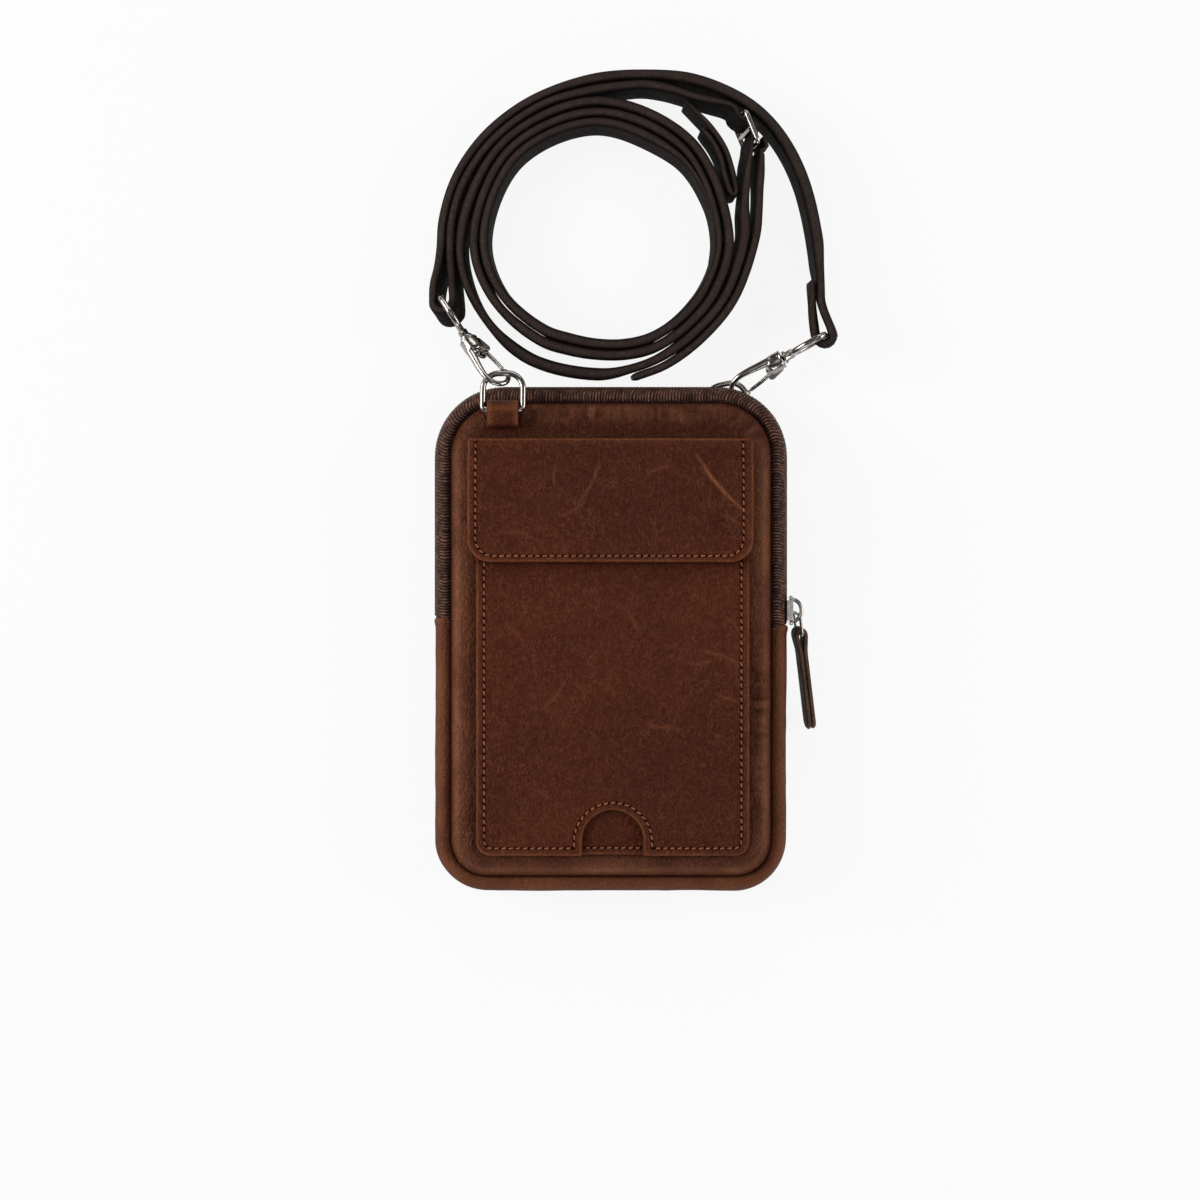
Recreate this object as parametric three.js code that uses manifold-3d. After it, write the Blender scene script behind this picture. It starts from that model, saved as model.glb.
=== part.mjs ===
// Crossbody bag lying on its back, with its leather strap coiled on edge beside it.
// Millimetres. Origin: middle of the back, on the surface it lies on. +X to the right,
// +Y towards the top of the bag and the strap, +Z up out of the front.
import * as THREE from "three";
import { mergeVertices } from "three/addons/utils/BufferGeometryUtils.js";
import Module from "manifold-3d";

// ---------------------------------------------------------------- driving sizes
const GAP = 0.3; // clearance kept between neighbouring pieces

const BAG = {
  halfWidth: 57, // middle to side seam
  halfLength: 84.2, // middle to top and bottom seams
  corner: 13, // seam corner radius at the bottom
  topCorner: 19, // and at the top
  depth: 23.8, // back face to front face
  seamBack: 6.3, // height of the back seam
  seamFront: 17.7, // height of the front seam
  wall: 1.8, // leather of the panels
  zipEndLeft: 7.6, // where the zip stops on the left side
  zipEndRight: 5.0, // and on the right
};
const MID = (BAG.seamBack + BAG.seamFront) / 2;

// How a padded panel rolls over from its flat face to the seam.
const PANEL_ROLL = [
  { inset: 0, rise: 0 },
  { inset: 1, rise: 1.9 },
  { inset: 2.6, rise: 3.7 },
  { inset: 5, rise: 5.2 },
  { inset: 8, rise: 5.9 },
  { inset: 11, rise: 6.1 },
  { inset: 30, rise: 6.1 },
];
// The inner face of the same panel.
const PANEL_LINING = [
  { inset: 1.7, rise: -0.5 },
  { inset: 3.2, rise: 1.9 },
  { inset: 5.4, rise: 3.3 },
  { inset: 8.3, rise: 4.1 },
  { inset: 11.2, rise: 4.3 },
  { inset: 30, rise: 4.3 },
];
// Leather side wall, half of its section: out from the seam line, up from the middle height.
const GUSSET_OUTER = [
  { out: 0.3, up: 5.2 },
  { out: 1.8, up: 5.9 },
  { out: 3.8, up: 5.2 },
  { out: 5.3, up: 3.0 },
  { out: 5.8, up: 0 },
];
const GUSSET_INNER = [
  { out: 4.1, up: 0 },
  { out: 3.8, up: 2.1 },
  { out: 2.9, up: 3.6 },
  { out: 1.7, up: 4.2 },
  { out: 0.3, up: 3.7 },
];
const GUSSET_LIP = { length: 3, proud: 0.8 }; // turned edge where the leather meets the zip
// Zip tape from a seam to the teeth, out and up as above.
const TAPE = [
  { out: 0.3, up: 5.2 },
  { out: 1.6, up: 5.9 },
  { out: 3.2, up: 5.4 },
  { out: 4.8, up: 3.8 },
  { out: 5.6, up: 1.6 },
  { out: 4.6, up: 1.4 },
  { out: 3.9, up: 3.1 },
  { out: 2.8, up: 4.2 },
  { out: 1.5, up: 4.6 },
  { out: 0.3, up: 4.2 },
];
const COIL = { out: 5.35, r: 1.0 };

const POCKET = {
  x: 0.6,
  halfWidth: 48,
  bottom: -76,
  top: 60,
  corner: 5,
  backing: 1.2,
  front: 1.5,
  archHalf: 10.9,
  archTop: -59.9,
};
const FLAP = { x: -0.2, halfWidth: 50.2, bottom: 27.4, corner: 8, wall: 1.5 };
// Flap from its sewn top edge down to where it lies on the pocket.
const FLAP_DROP = [
  { y: 71, lift: 0.3 },
  { y: 69.8, lift: 0.45 },
  { y: 67, lift: 1.25 },
  { y: 64, lift: 2.35 },
  { y: 61.5, lift: 3.25 },
  { y: 59.5, lift: 3.6 },
];

const RING = { halfWidth: 7.15, length: 12.9, corner: 5.6, barCorner: 1.4, r: 1.05 };
// Where each ring's bar lies in its tab, and how the ring lies: tilt lifts its far side,
// lean lifts its right side, turn swings it about +Z.
const RING_POSES = {
  left: { x: -38.2, y: 81.2, z: 25.22, tilt: -5.66, lean: 6.13, turn: 0.2 },
  right: { x: 43.5, y: 79.3, z: 3.1, tilt: 2.75, lean: 7.05, turn: 11.67 },
};
const TAB = { left: 11.2, right: 9.4, wall: 1.0 };
// Section of the left tab: from under the ring's bar, round the fold, back over it to the front seam.
const TAB_LEFT = [
  { y: 82.9, z: 21.15 },
  { y: 82.1, z: 22.05 },
  { y: 80.6, z: 22.95 },
  { y: 78, z: 24.05 },
  { y: 75.8, z: 24.6 },
  { y: 75.1, z: 25.2 },
  { y: 75.8, z: 25.85 },
  { y: 78, z: 27.0 },
  { y: 80, z: 27.8 },
  { y: 81.8, z: 27.85 },
  { y: 83.4, z: 26.3 },
  { y: 84.2, z: 23.2 },
  { y: 84.5, z: 20.3 },
];
// Section of the right tab, under the back: from the back seam over the ring's bar and back below it.
const TAB_RIGHT = [
  { y: 83.8, z: 5.5 },
  { y: 81.5, z: 5.6 },
  { y: 79, z: 5.55 },
  { y: 76.8, z: 5.0 },
  { y: 75.8, z: 3.1 },
  { y: 76.8, z: 1.2 },
  { y: 79, z: 0.68 },
  { y: 81.5, z: 0.72 },
  { y: 83.4, z: 1.9 },
  { y: 84.1, z: 4.2 },
];
const BACK_DENT = { x0: 33, x1: 52.5, y0: 74.6, soft: 6, height: 6.3 }; // room for the right tab and ring

const STRAP = { width: 15, wall: 2.95, wallAtSlide: 1.7, lean: 4.5 }; // lean: its top stands out by this angle
const COIL_CENTRE = { x: -5, y: 143.9 };
// Strap from the right hook over the top to the left hook: angle from +X and radius about the coil's centre.
const STRAP_OUTER_RUN = [
  { angle: -15.8, radius: 84 },
  { angle: -8.2, radius: 80 },
  { angle: 0, radius: 78.1 },
  { angle: 15, radius: 76 },
  { angle: 27, radius: 74.6 },
  { angle: 37.5, radius: 72.6 },
  { angle: 47.4, radius: 69.4 },
  { angle: 60, radius: 64.8 },
  { angle: 74, radius: 59.8 },
  { angle: 91, radius: 56.0 },
  { angle: 109, radius: 53.9 },
  { angle: 124, radius: 53.3 },
  { angle: 141, radius: 53.5 },
  { angle: 158, radius: 54.2 },
  { angle: 174, radius: 54.9 },
  { angle: 185, radius: 55.5 },
  { angle: 192, radius: 57.2 },
  { angle: 198.2, radius: 60.2 },
];
// Back from the left hook, inside the outer run, to the slide.
const STRAP_INNER_RUN = [
  { angle: 199.5, radius: 53.7 },
  { angle: 192.4, radius: 52.6 },
  { angle: 185, radius: 52.1 },
  { angle: 174, radius: 51.7 },
  { angle: 158, radius: 51.0 },
  { angle: 141, radius: 50.3 },
  { angle: 124, radius: 50.1 },
  { angle: 109, radius: 50.7 },
  { angle: 91, radius: 52.0 },
  { angle: 80, radius: 54.2 },
  { angle: 72, radius: 56.6 },
  { angle: 64, radius: 58.3 },
  { angle: 55, radius: 60.2 },
];
// From the slide clockwise into the coil, three turns inwards.
const STRAP_COIL = [
  { angle: 10, radius: 53.0 },
  { angle: 0, radius: 52.3 },
  { angle: -24, radius: 50.1 },
  { angle: -43, radius: 48.5 },
  { angle: -61, radius: 48.3 },
  { angle: -75, radius: 48.3 },
  { angle: -90, radius: 48.7 },
  { angle: -120, radius: 49.4 },
  { angle: -150, radius: 49.2 },
  { angle: -180, radius: 48.2 },
  { angle: -225, radius: 46.9 },
  { angle: -270, radius: 47.9 },
  { angle: -315, radius: 47.3 },
  { angle: -360, radius: 46.7 },
  { angle: -384, radius: 46.0 },
  { angle: -403, radius: 44.9 },
  { angle: -421, radius: 44.3 },
  { angle: -435, radius: 43.0 },
  { angle: -450, radius: 41.6 },
  { angle: -465, radius: 41.2 },
  { angle: -480, radius: 41.8 },
  { angle: -510, radius: 43.0 },
  { angle: -540, radius: 43.5 },
  { angle: -585, radius: 43.5 },
  { angle: -630, radius: 44.0 },
  { angle: -675, radius: 43.6 },
  { angle: -720, radius: 43.0 },
  { angle: -744, radius: 42.3 },
  { angle: -763, radius: 41.3 },
  { angle: -781, radius: 40.5 },
  { angle: -795, radius: 39.2 },
  { angle: -810, radius: 37.8 },
  { angle: -825, radius: 37.2 },
  { angle: -840, radius: 37.8 },
  { angle: -870, radius: 39.2 },
  { angle: -900, radius: 40.0 },
  { angle: -945, radius: 40.2 },
  { angle: -990, radius: 40.5 },
  { angle: -1035, radius: 40.2 },
  { angle: -1062, radius: 40.4 },
  { angle: -1080, radius: 40.7 },
  { angle: -1095, radius: 40.9 },
];
// Outer ply from the slide down the right side of the coil to its cut end.
const OVERLAY_RUN = [
  { angle: 27.5, radius: 65.2 },
  { angle: 19, radius: 60.8 },
  { angle: 10, radius: 58.2 },
  { angle: 0, radius: 56.4 },
  { angle: -24, radius: 53.5 },
  { angle: -43, radius: 51.9 },
  { angle: -61, radius: 51.7 },
  { angle: -76, radius: 51.7 },
];
// Folded end beside the slide: down the outer leg, round the fold, up the inner leg to the tip.
const TAIL = { wall: 1.9 };
const TAIL_RUN = [
  { angle: 57, radius: 57.1 },
  { angle: 52.9, radius: 56.5 },
  { angle: 44.1, radius: 55.9 },
  { angle: 34.5, radius: 55.0 },
  { angle: 27, radius: 53.5 },
  { angle: 21.5, radius: 52.5 },
  { angle: 18.4, radius: 52.1 },
  { angle: 17.2, radius: 51.4 },
  { angle: 17.2, radius: 50.4 },
  { angle: 18.6, radius: 49.85 },
  { angle: 21.5, radius: 49.8 },
  { angle: 25.5, radius: 50.1 },
  { angle: 32.7, radius: 51.9 },
  { angle: 39.6, radius: 52.9 },
  { angle: 46, radius: 53.2 },
];
const SLIDE = {
  x: 48.5,
  y: 181.5,
  z: 10.2,
  heading: -67.7, // direction of its length, degrees from +X
  pitch: 6, // between its three bars
  halfHeight: 8.7, // middle of the slide to the middle of its side rails
  r: 0.9,
  weave: 2.15, // strap's middle from the bars' line
  lean: 12, // its top stands out from the coil
};

const HOOK = {
  barrelR: 3.4,
  barrelLength: 6,
  boreR: 1.6,
  counterboreR: 2.5,
  counterboreAt: 3,
  postR: 1.25,
  headR: 2.15,
  eyeR: 1.1,
  eyeHalf: 9.3, // middle of the eye to the middle of its corners, across the strap
  pinX: 6.3,
  pinY: 3.5,
  pinR: 0.6,
  pinHoleR: 0.9,
  earR: 1.75,
  earIn: 1.15,
  earOut: 2.0,
  gateEndX: 15.3,
  gateEndY: 5.9,
  gateR: 0.85,
};
// Middle line of the hook's arm from the barrel round to the tip: along the hook, across it, radius.
const HOOK_ARM = [
  { along: 5.0, across: -1.95, r: 1.35 },
  { along: 9.0, across: -2.2, r: 1.25 },
  { along: 13.0, across: -2.5, r: 1.1 },
  { along: 17.0, across: -2.3, r: 0.98 },
  { along: 20.0, across: -1.0, r: 0.9 },
  { along: 21.5, across: 1.4, r: 0.9 },
  { along: 21.3, across: 4.0, r: 0.9 },
  { along: 19.9, across: 5.8, r: 0.9 },
  { along: 17.9, across: 6.5, r: 0.88 },
  { along: 16.75, across: 6.4, r: 0.85 },
];
// Collar position, then yaw, pitch and roll of each hook; eye is the collar to the eye's bar.
const HOOK_POSES = {
  left: { x: -50.87, y: 106.47, z: 17.52, yaw: -57.13, pitch: 23.86, roll: 38.25, eye: 15.83 },
  right: { x: 61.78, y: 100.77, z: 9.16, yaw: 208.17, pitch: -8.6, roll: 44.33, eye: 16.8 },
};
// Strap loop round each eye bar: its radius, and the way its two legs leave, degrees from +X.
const EYE_LOOPS = {
  left: { radius: 3.6, legs: 84 },
  right: { radius: 2.95, legs: 104 },
};
const FOLD_BACK = [
  { angle: -16.4, radius: 80.6 },
  { angle: -11.4, radius: 78.1 },
];

const SLIDER = { y: 10.3, halfLength: 5.3, halfHeight: 3.9, base: 6.8, wall: 1.3, bridge: 3.4, wire: 0.75 };
const PULL_RING = { length: 7.4, halfWidth: 4.3, corner: 0.8, r: 0.55 };
const PULL = { wall: 1.6, width: 6.4, length: 35, clear: 0.25 };
const PULL_LINE = { from: [66.6, 9.15, 12], to: [72.2, -33.2, 4.3], lean: 9 };

// ---------------------------------------------------------------- helpers
const rad = THREE.MathUtils.degToRad;
const V = (x, y, z = 0) => new THREE.Vector3(x, y, z);
const mix = (a, b, t) => a + (b - a) * t;
const step = (a, b, t) => {
  const s = THREE.MathUtils.clamp((t - a) / (b - a), 0, 1);
  return s * s * (3 - 2 * s);
};
const polar = ({ angle, radius }, z) =>
  V(COIL_CENTRE.x + radius * Math.cos(rad(angle)), COIL_CENTRE.y + radius * Math.sin(rad(angle)), z);

const wasm = await Module();
wasm.setup();

function meshData(geometry) {
  const g = new THREE.BufferGeometry().setAttribute("position", geometry.getAttribute("position").clone());
  if (geometry.index) g.setIndex(geometry.index.clone());
  return mergeVertices(g, 1e-4);
}
function signedVolume(p, index) {
  let v = 0;
  for (let i = 0; i < index.length; i += 3) {
    const [a, b, c] = [index[i] * 3, index[i + 1] * 3, index[i + 2] * 3];
    v +=
      p[a] * (p[b + 1] * p[c + 2] - p[b + 2] * p[c + 1]) -
      p[a + 1] * (p[b] * p[c + 2] - p[b + 2] * p[c]) +
      p[a + 2] * (p[b] * p[c + 1] - p[b + 1] * p[c]);
  }
  return v / 6;
}
// Indexed geometry from points and triangles, turned so that it faces out.
function closed(points, triangles) {
  const array = new Float32Array(points.flatMap((p) => [p.x, p.y, p.z]));
  const index = [...triangles];
  if (signedVolume(array, index) < 0)
    for (let i = 0; i < index.length; i += 3) [index[i + 1], index[i + 2]] = [index[i + 2], index[i + 1]];
  return new THREE.BufferGeometry()
    .setAttribute("position", new THREE.BufferAttribute(array, 3))
    .setIndex(index);
}
function solid(geometry) {
  const g = meshData(geometry);
  const triVerts = new Uint32Array(g.index.array);
  const vertProperties = new Float32Array(g.attributes.position.array);
  return new wasm.Manifold(new wasm.Mesh({ numProp: 3, vertProperties, triVerts }));
}
function fromSolid(s) {
  const m = s.getMesh();
  const array = new Float32Array(m.numVert * 3);
  for (let i = 0; i < m.numVert; i++) array.set(m.vertProperties.subarray(i * m.numProp, i * m.numProp + 3), i * 3);
  return new THREE.BufferGeometry()
    .setAttribute("position", new THREE.BufferAttribute(array, 3))
    .setIndex(new THREE.BufferAttribute(new Uint32Array(m.triVerts), 1));
}
// Loops of equal point counts skinned in order; the two ends are closed with fans or the loops join up.
function skin(loops, joined = false) {
  const n = loops[0].length;
  const points = loops.flat();
  const triangles = [];
  const last = joined ? loops.length : loops.length - 1;
  for (let i = 0; i < last; i++)
    for (let j = 0; j < n; j++) {
      const [a, b] = [i * n + j, i * n + ((j + 1) % n)];
      const [c, d] = [((i + 1) % loops.length) * n + j, ((i + 1) % loops.length) * n + ((j + 1) % n)];
      triangles.push(a, b, d, a, d, c);
    }
  if (!joined)
    for (const [at, flip] of [
      [0, true],
      [loops.length - 1, false],
    ]) {
      const centre = loops[at].reduce((s, p) => s.add(p), V(0, 0, 0)).divideScalar(n);
      const k = points.push(centre) - 1;
      for (let j = 0; j < n; j++) {
        const [a, b] = [at * n + j, at * n + ((j + 1) % n)];
        triangles.push(...(flip ? [k, b, a] : [k, a, b]));
      }
    }
  return closed(points, triangles);
}
// Same, with flat ends that follow a hollow section, cut into triangles instead of fans.
function skinSection(frames, section) {
  const n = section.length;
  const at = (f, [u, v]) => f.p.clone().addScaledVector(f.u, u + (f.push ?? 0)).addScaledVector(f.v, v);
  const points = frames.flatMap((f) => section.map((s) => at(f, s)));
  const triangles = [];
  for (let i = 0; i < frames.length - 1; i++)
    for (let j = 0; j < n; j++) {
      const [a, b, c, d] = [i * n + j, i * n + ((j + 1) % n), (i + 1) * n + j, (i + 1) * n + ((j + 1) % n)];
      triangles.push(a, b, d, a, d, c);
    }
  const flat = section.map(([u, v]) => new THREE.Vector2(u, v));
  const way = Math.sign(THREE.ShapeUtils.area(flat));
  const end = (frames.length - 1) * n;
  for (const cap of THREE.ShapeUtils.triangulateShape(flat, [])) {
    const same = Math.sign(THREE.ShapeUtils.area(cap.map((k) => flat[k]))) === way;
    const [a, b, c] = same ? cap : [cap[0], cap[2], cap[1]];
    triangles.push(a, c, b, end + a, end + b, end + c);
  }
  return closed(points, triangles);
}
// Drops points that a straight line already passes within tol of.
function thin(points, tol) {
  const keep = [points[0]];
  let from = 0;
  for (let to = 2; to < points.length; to++) {
    const line = new THREE.Line3(points[from], points[to]);
    const far = points.slice(from + 1, to).some((p) => line.closestPointToPoint(p, true, V(0, 0)).distanceTo(p) > tol);
    if (far) {
      keep.push(points[to - 1]);
      from = to - 1;
    }
  }
  keep.push(points.at(-1));
  return keep;
}
const smooth = (controls, perSegment = 14) =>
  new THREE.CatmullRomCurve3(controls, false, "centripetal").getPoints((controls.length - 1) * perSegment);
// A flat strip along a line: up gives the way across its width, wall and width may change along it.
function ribbon(points, { up, wall, width }) {
  const total = points.slice(1).reduce((s, p, i) => s + p.distanceTo(points[i]), 0);
  let run = 0;
  const loops = points.map((p, i) => {
    if (i) run += p.distanceTo(points[i - 1]);
    const t = points[Math.min(i + 1, points.length - 1)].clone().sub(points[Math.max(i - 1, 0)]).normalize();
    const v = up(p, run).clone();
    v.addScaledVector(t, -v.dot(t)).normalize();
    const u = v.clone().cross(t).normalize();
    const [a, b] = [wall(p, run, total) / 2, width(p, run, total) / 2];
    const loop = [
      [a, b],
      [-a, b],
      [-a, -b],
      [a, -b],
    ].map(([x, y]) => p.clone().addScaledVector(u, x).addScaledVector(v, y));
    const sunk = Math.min(0, ...loop.map((q) => q.z)); // nothing dips under the surface it lies on
    return loop.map((q) => q.setZ(q.z - sunk));
  });
  return skin(loops);
}
// Round wire along a line that lies in the plane square to normal.
function wire(points, radius, normal, { sides = 10, joined = false } = {}) {
  const n = points.length;
  const loops = points.map((p, i) => {
    const before = joined ? points[(i + n - 1) % n] : points[Math.max(i - 1, 0)];
    const after = joined ? points[(i + 1) % n] : points[Math.min(i + 1, n - 1)];
    const t = after.clone().sub(before).normalize();
    const u = normal.clone().cross(t).normalize();
    const r = typeof radius === "function" ? radius(i, p) : radius;
    return Array.from({ length: sides }, (_, k) => {
      const a = (2 * Math.PI * k) / sides;
      return p.clone().addScaledVector(u, r * Math.cos(a)).addScaledVector(normal, r * Math.sin(a));
    });
  });
  return skin(loops, joined);
}
// Closed outline of a rectangle with round corners, with points along its sides.
function roundRect(a, b, r, { cornerSteps = 6, across = 12, along = 8, top = r } = {}) {
  const corners = [
    [a - top, b - top, 0, top],
    [-(a - top), b - top, 90, top],
    [-(a - r), -(b - r), 180, r],
    [a - r, -(b - r), 270, r],
  ];
  const points = [];
  corners.forEach(([x, y, from, r], i) => {
    for (let k = 0; k <= cornerSteps; k++) {
      const t = rad(from + (90 * k) / cornerSteps);
      points.push(V(x + r * Math.cos(t), y + r * Math.sin(t)));
    }
    const [nx, ny, nextFrom, nextR] = corners[(i + 1) % 4];
    const start = points.at(-1);
    const end = V(nx + nextR * Math.cos(rad(nextFrom)), ny + nextR * Math.sin(rad(nextFrom)));
    const parts = i % 2 ? along : across;
    for (let k = 1; k < parts; k++) points.push(start.clone().lerp(end, k / parts));
  });
  return points;
}

const group = new THREE.Group();
const FINISH = {
  leather: { color: 0x52291a, roughness: 0.55, metalness: 0 },
  tape: { color: 0x3a2620, roughness: 0.85, metalness: 0 },
  strap: { color: 0x2b2424, roughness: 0.5, metalness: 0 },
  metal: { color: 0x8c8884, roughness: 0.22, metalness: 1 },
};
function piece(name, geometry, finish) {
  const mesh = new THREE.Mesh(geometry, new THREE.MeshStandardMaterial(FINISH[finish]));
  mesh.name = name;
  group.add(mesh);
  return mesh;
}

// ---------------------------------------------------------------- bag body
const insetRing = (inset, counts = { across: 10, along: 4, cornerSteps: 5 }) =>
  roundRect(BAG.halfWidth - inset, BAG.halfLength - inset, Math.max(BAG.corner - inset, 1.5), {
    ...counts,
    top: Math.max(BAG.topCorner - inset, 1.5),
  });
const frontLoops = [...PANEL_ROLL].reverse().concat(PANEL_LINING).map(({ inset, rise }) =>
  insetRing(inset, { across: 3, along: 3 }).map((p) => p.setZ(BAG.seamFront + rise)),
);
piece("front_panel", skin(frontLoops), "leather");

// The back mirrors the front, pressed in over the right tab and ring.
const dent = (p) =>
  step(BACK_DENT.x0 - BACK_DENT.soft, BACK_DENT.x0, p.x) *
  (1 - step(BACK_DENT.x1, BACK_DENT.x1 + BACK_DENT.soft, p.x)) *
  step(BACK_DENT.y0 - BACK_DENT.soft, BACK_DENT.y0, p.y);
const flatRise = PANEL_ROLL.at(-1).rise;
const backRow = (row, lining) => {
  const height = BAG.seamBack * (1 - row.rise / flatRise);
  return insetRing(row.inset).map((p) =>
    p.setZ(
      lining
        ? Math.max(height, BAG.wall + BACK_DENT.height * dent(p) * step(0.6, 3.5, row.inset))
        : Math.max(height, BACK_DENT.height * dent(p)),
    ),
  );
};
const DENT_ROWS = [14.5, 18].map((inset) => ({ inset, rise: flatRise }));
const LINING_ROWS = [14.7, 18.2].map((inset) => ({ inset, rise: PANEL_LINING.at(-1).rise }));
const withRows = (table, extra) => [...table, ...extra].sort((a, b) => a.inset - b.inset);
piece(
  "back_panel",
  skin([
    ...withRows(PANEL_ROLL, DENT_ROWS).reverse().map((r) => backRow(r, false)),
    ...withRows(PANEL_LINING, LINING_ROWS).map((r) => backRow(r, true)),
  ]),
  "leather",
);

// Seam line walked from one side height to the other, over the top or round the bottom.
function seamFrames(fromY, toY, overTop) {
  const { halfWidth: a, halfLength: b } = BAG;
  const r = overTop ? BAG.topCorner : BAG.corner;
  const side = overTop ? 1 : -1;
  const frames = [];
  const add = (x, y, nx, ny) => frames.push({ p: V(x, y, MID), u: V(nx, ny, 0), v: V(0, 0, 1) });
  const line = (x0, y0, x1, y1, nx, ny, n, first = 0) => {
    for (let k = first; k <= n; k++) add(mix(x0, x1, k / n), mix(y0, y1, k / n), nx, ny);
  };
  const arc = (cx, cy, from, to, n = 8) => {
    for (let k = 1; k < n; k++) {
      const t = rad(mix(from, to, k / n));
      add(cx + r * Math.cos(t), cy + r * Math.sin(t), Math.cos(t), Math.sin(t));
    }
  };
  line(-a, fromY, -a, side * (b - r), -1, 0, 4);
  arc(-(a - r), side * (b - r), 180, 180 - 90 * side);
  line(-(a - r), side * b, a - r, side * b, 0, side, 5);
  arc(a - r, side * (b - r), 90 * side, 0);
  line(a, side * (b - r), a, toY, 1, 0, 4);
  return frames;
}
const mirrored = (table) => [...table].reverse().filter(({ up }) => up > 0).map(({ out, up }) => ({ out, up: -up }));
const toSection = (table, flip = 1) => table.map(({ out, up }) => [out, up * flip]);
const gussetSection = toSection([
  ...GUSSET_OUTER,
  ...mirrored(GUSSET_OUTER),
  ...[...GUSSET_INNER].reverse().map(({ out, up }) => ({ out, up: -up })),
  ...GUSSET_INNER.filter(({ up }) => up > 0),
]);
// A few extra stations shape the turned lip at each end of the leather side wall.
const gussetFrames = seamFrames(BAG.zipEndLeft, BAG.zipEndRight, false);
const lipStations = (f, towards) =>
  [0, 0.55, 1].map((t) => ({
    ...f,
    p: f.p.clone().setY(f.p.y - t * GUSSET_LIP.length * towards),
    push: GUSSET_LIP.proud * (1 - t * t),
  }));
piece(
  "gusset_leather",
  skinSection(
    [
      ...lipStations(gussetFrames[0], 1),
      ...gussetFrames.slice(1, -1),
      ...lipStations(gussetFrames.at(-1), 1).reverse(),
    ],
    gussetSection,
  ),
  "leather",
);
const zipFrames = () => seamFrames(BAG.zipEndLeft + GAP + 0.1, BAG.zipEndRight + GAP + 0.1, true);
piece("zip_tape_front", skinSection(zipFrames(), toSection(TAPE)), "tape");
piece("zip_tape_back", skinSection(zipFrames(), toSection(TAPE, -1)), "tape");
const coilSection = Array.from({ length: 8 }, (_, k) => [
  COIL.out + COIL.r * Math.cos((k * Math.PI) / 4),
  COIL.r * Math.sin((k * Math.PI) / 4),
]);
piece("zip_coil", skinSection(zipFrames(), coilSection), "tape");

// ---------------------------------------------------------------- front pocket
function plate(shape, z, thickness) {
  const g = new THREE.ExtrudeGeometry(shape, { depth: thickness, bevelEnabled: false, curveSegments: 8 });
  return g.translate(0, 0, z);
}
// Pocket outline with round bottom corners; the front layer has the arch cut up from its bottom edge.
function pocketShape({ inset, arch }) {
  const { x, halfWidth, bottom, top, corner, archHalf, archTop } = POCKET;
  const [l, r, b] = [x - halfWidth + inset, x + halfWidth - inset, bottom + inset];
  const c = corner - inset / 2;
  const s = new THREE.Shape();
  s.moveTo(l, top).lineTo(l, b + c);
  s.absarc(l + c, b + c, c, Math.PI, 1.5 * Math.PI, false);
  if (arch) {
    s.lineTo(x - archHalf, b).lineTo(x - archHalf, archTop - archHalf);
    s.absarc(x, archTop - archHalf, archHalf, Math.PI, 0, true);
    s.lineTo(x + archHalf, b);
  }
  s.lineTo(r - c, b);
  s.absarc(r - c, b + c, c, 1.5 * Math.PI, 2 * Math.PI, false);
  s.lineTo(r, top).closePath();
  return s;
}
const backingZ = BAG.depth + GAP;
const pocketZ = backingZ + POCKET.backing + GAP;
piece("pocket_backing", plate(pocketShape({ inset: 0.3, arch: false }), backingZ, POCKET.backing), "leather");
piece("pocket_front", plate(pocketShape({ inset: 0, arch: true }), pocketZ, POCKET.front), "leather");

const flapRows = [...FLAP_DROP];
for (let k = 0; k <= 8; k++) {
  const t = rad((90 * k) / 8);
  flapRows.push({
    y: FLAP.bottom + FLAP.corner * (1 - Math.sin(t)),
    lift: FLAP_DROP.at(-1).lift,
    pull: FLAP.corner * (1 - Math.cos(t)),
  });
}
piece(
  "pocket_flap",
  skin(
    flapRows.map(({ y, lift, pull = 0 }) => {
      const [w, z] = [FLAP.halfWidth - Math.min(pull, FLAP.corner), BAG.depth + lift];
      return [
        V(FLAP.x - w, y, z),
        V(FLAP.x + w, y, z),
        V(FLAP.x + w, y, z + FLAP.wall),
        V(FLAP.x - w, y, z + FLAP.wall),
      ];
    }),
  ),
  "leather",
);

// ---------------------------------------------------------------- rings and tabs
function ringFrame({ x, y, z, tilt, lean, turn }) {
  const u = V(Math.cos(rad(lean)) * Math.cos(rad(turn)), Math.cos(rad(lean)) * Math.sin(rad(turn)), Math.sin(rad(lean)));
  const flat = V(-Math.sin(rad(turn)), Math.cos(rad(turn)), 0);
  const up = u.clone().cross(flat).normalize();
  const v = flat.clone().multiplyScalar(Math.cos(rad(tilt))).addScaledVector(up, Math.sin(rad(tilt)));
  return { p: V(x, y, z), u, v, n: u.clone().cross(v).normalize() };
}
for (const side of ["left", "right"]) {
  const { p, u, v, n } = ringFrame(RING_POSES[side]);
  // Round at the far end, with tighter corners at the bar that the tab holds.
  const far = roundRect(RING.halfWidth, RING.length / 2, RING.corner, { cornerSteps: 6, across: 2, along: 2 });
  const bar = roundRect(RING.halfWidth, RING.length / 2, RING.barCorner, { cornerSteps: 6, across: 2, along: 2 });
  const path = far.map((q, i) => {
    const { x, y } = i < far.length / 2 ? q : bar[i];
    return p.clone().addScaledVector(u, x).addScaledVector(v, y + RING.length / 2);
  });
  piece("ring_" + side, wire(path, RING.r, n, { joined: true }), "metal");
  const table = side === "left" ? TAB_LEFT : TAB_RIGHT;
  const line = thin(smooth(table.map(({ y, z }) => V(RING_POSES[side].x, y, z)), 6), 0.03);
  piece(
    "ring_tab_" + side,
    ribbon(line, { up: () => V(1, 0, 0), wall: () => TAB.wall, width: () => TAB[side] }),
    "leather",
  );
}

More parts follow.
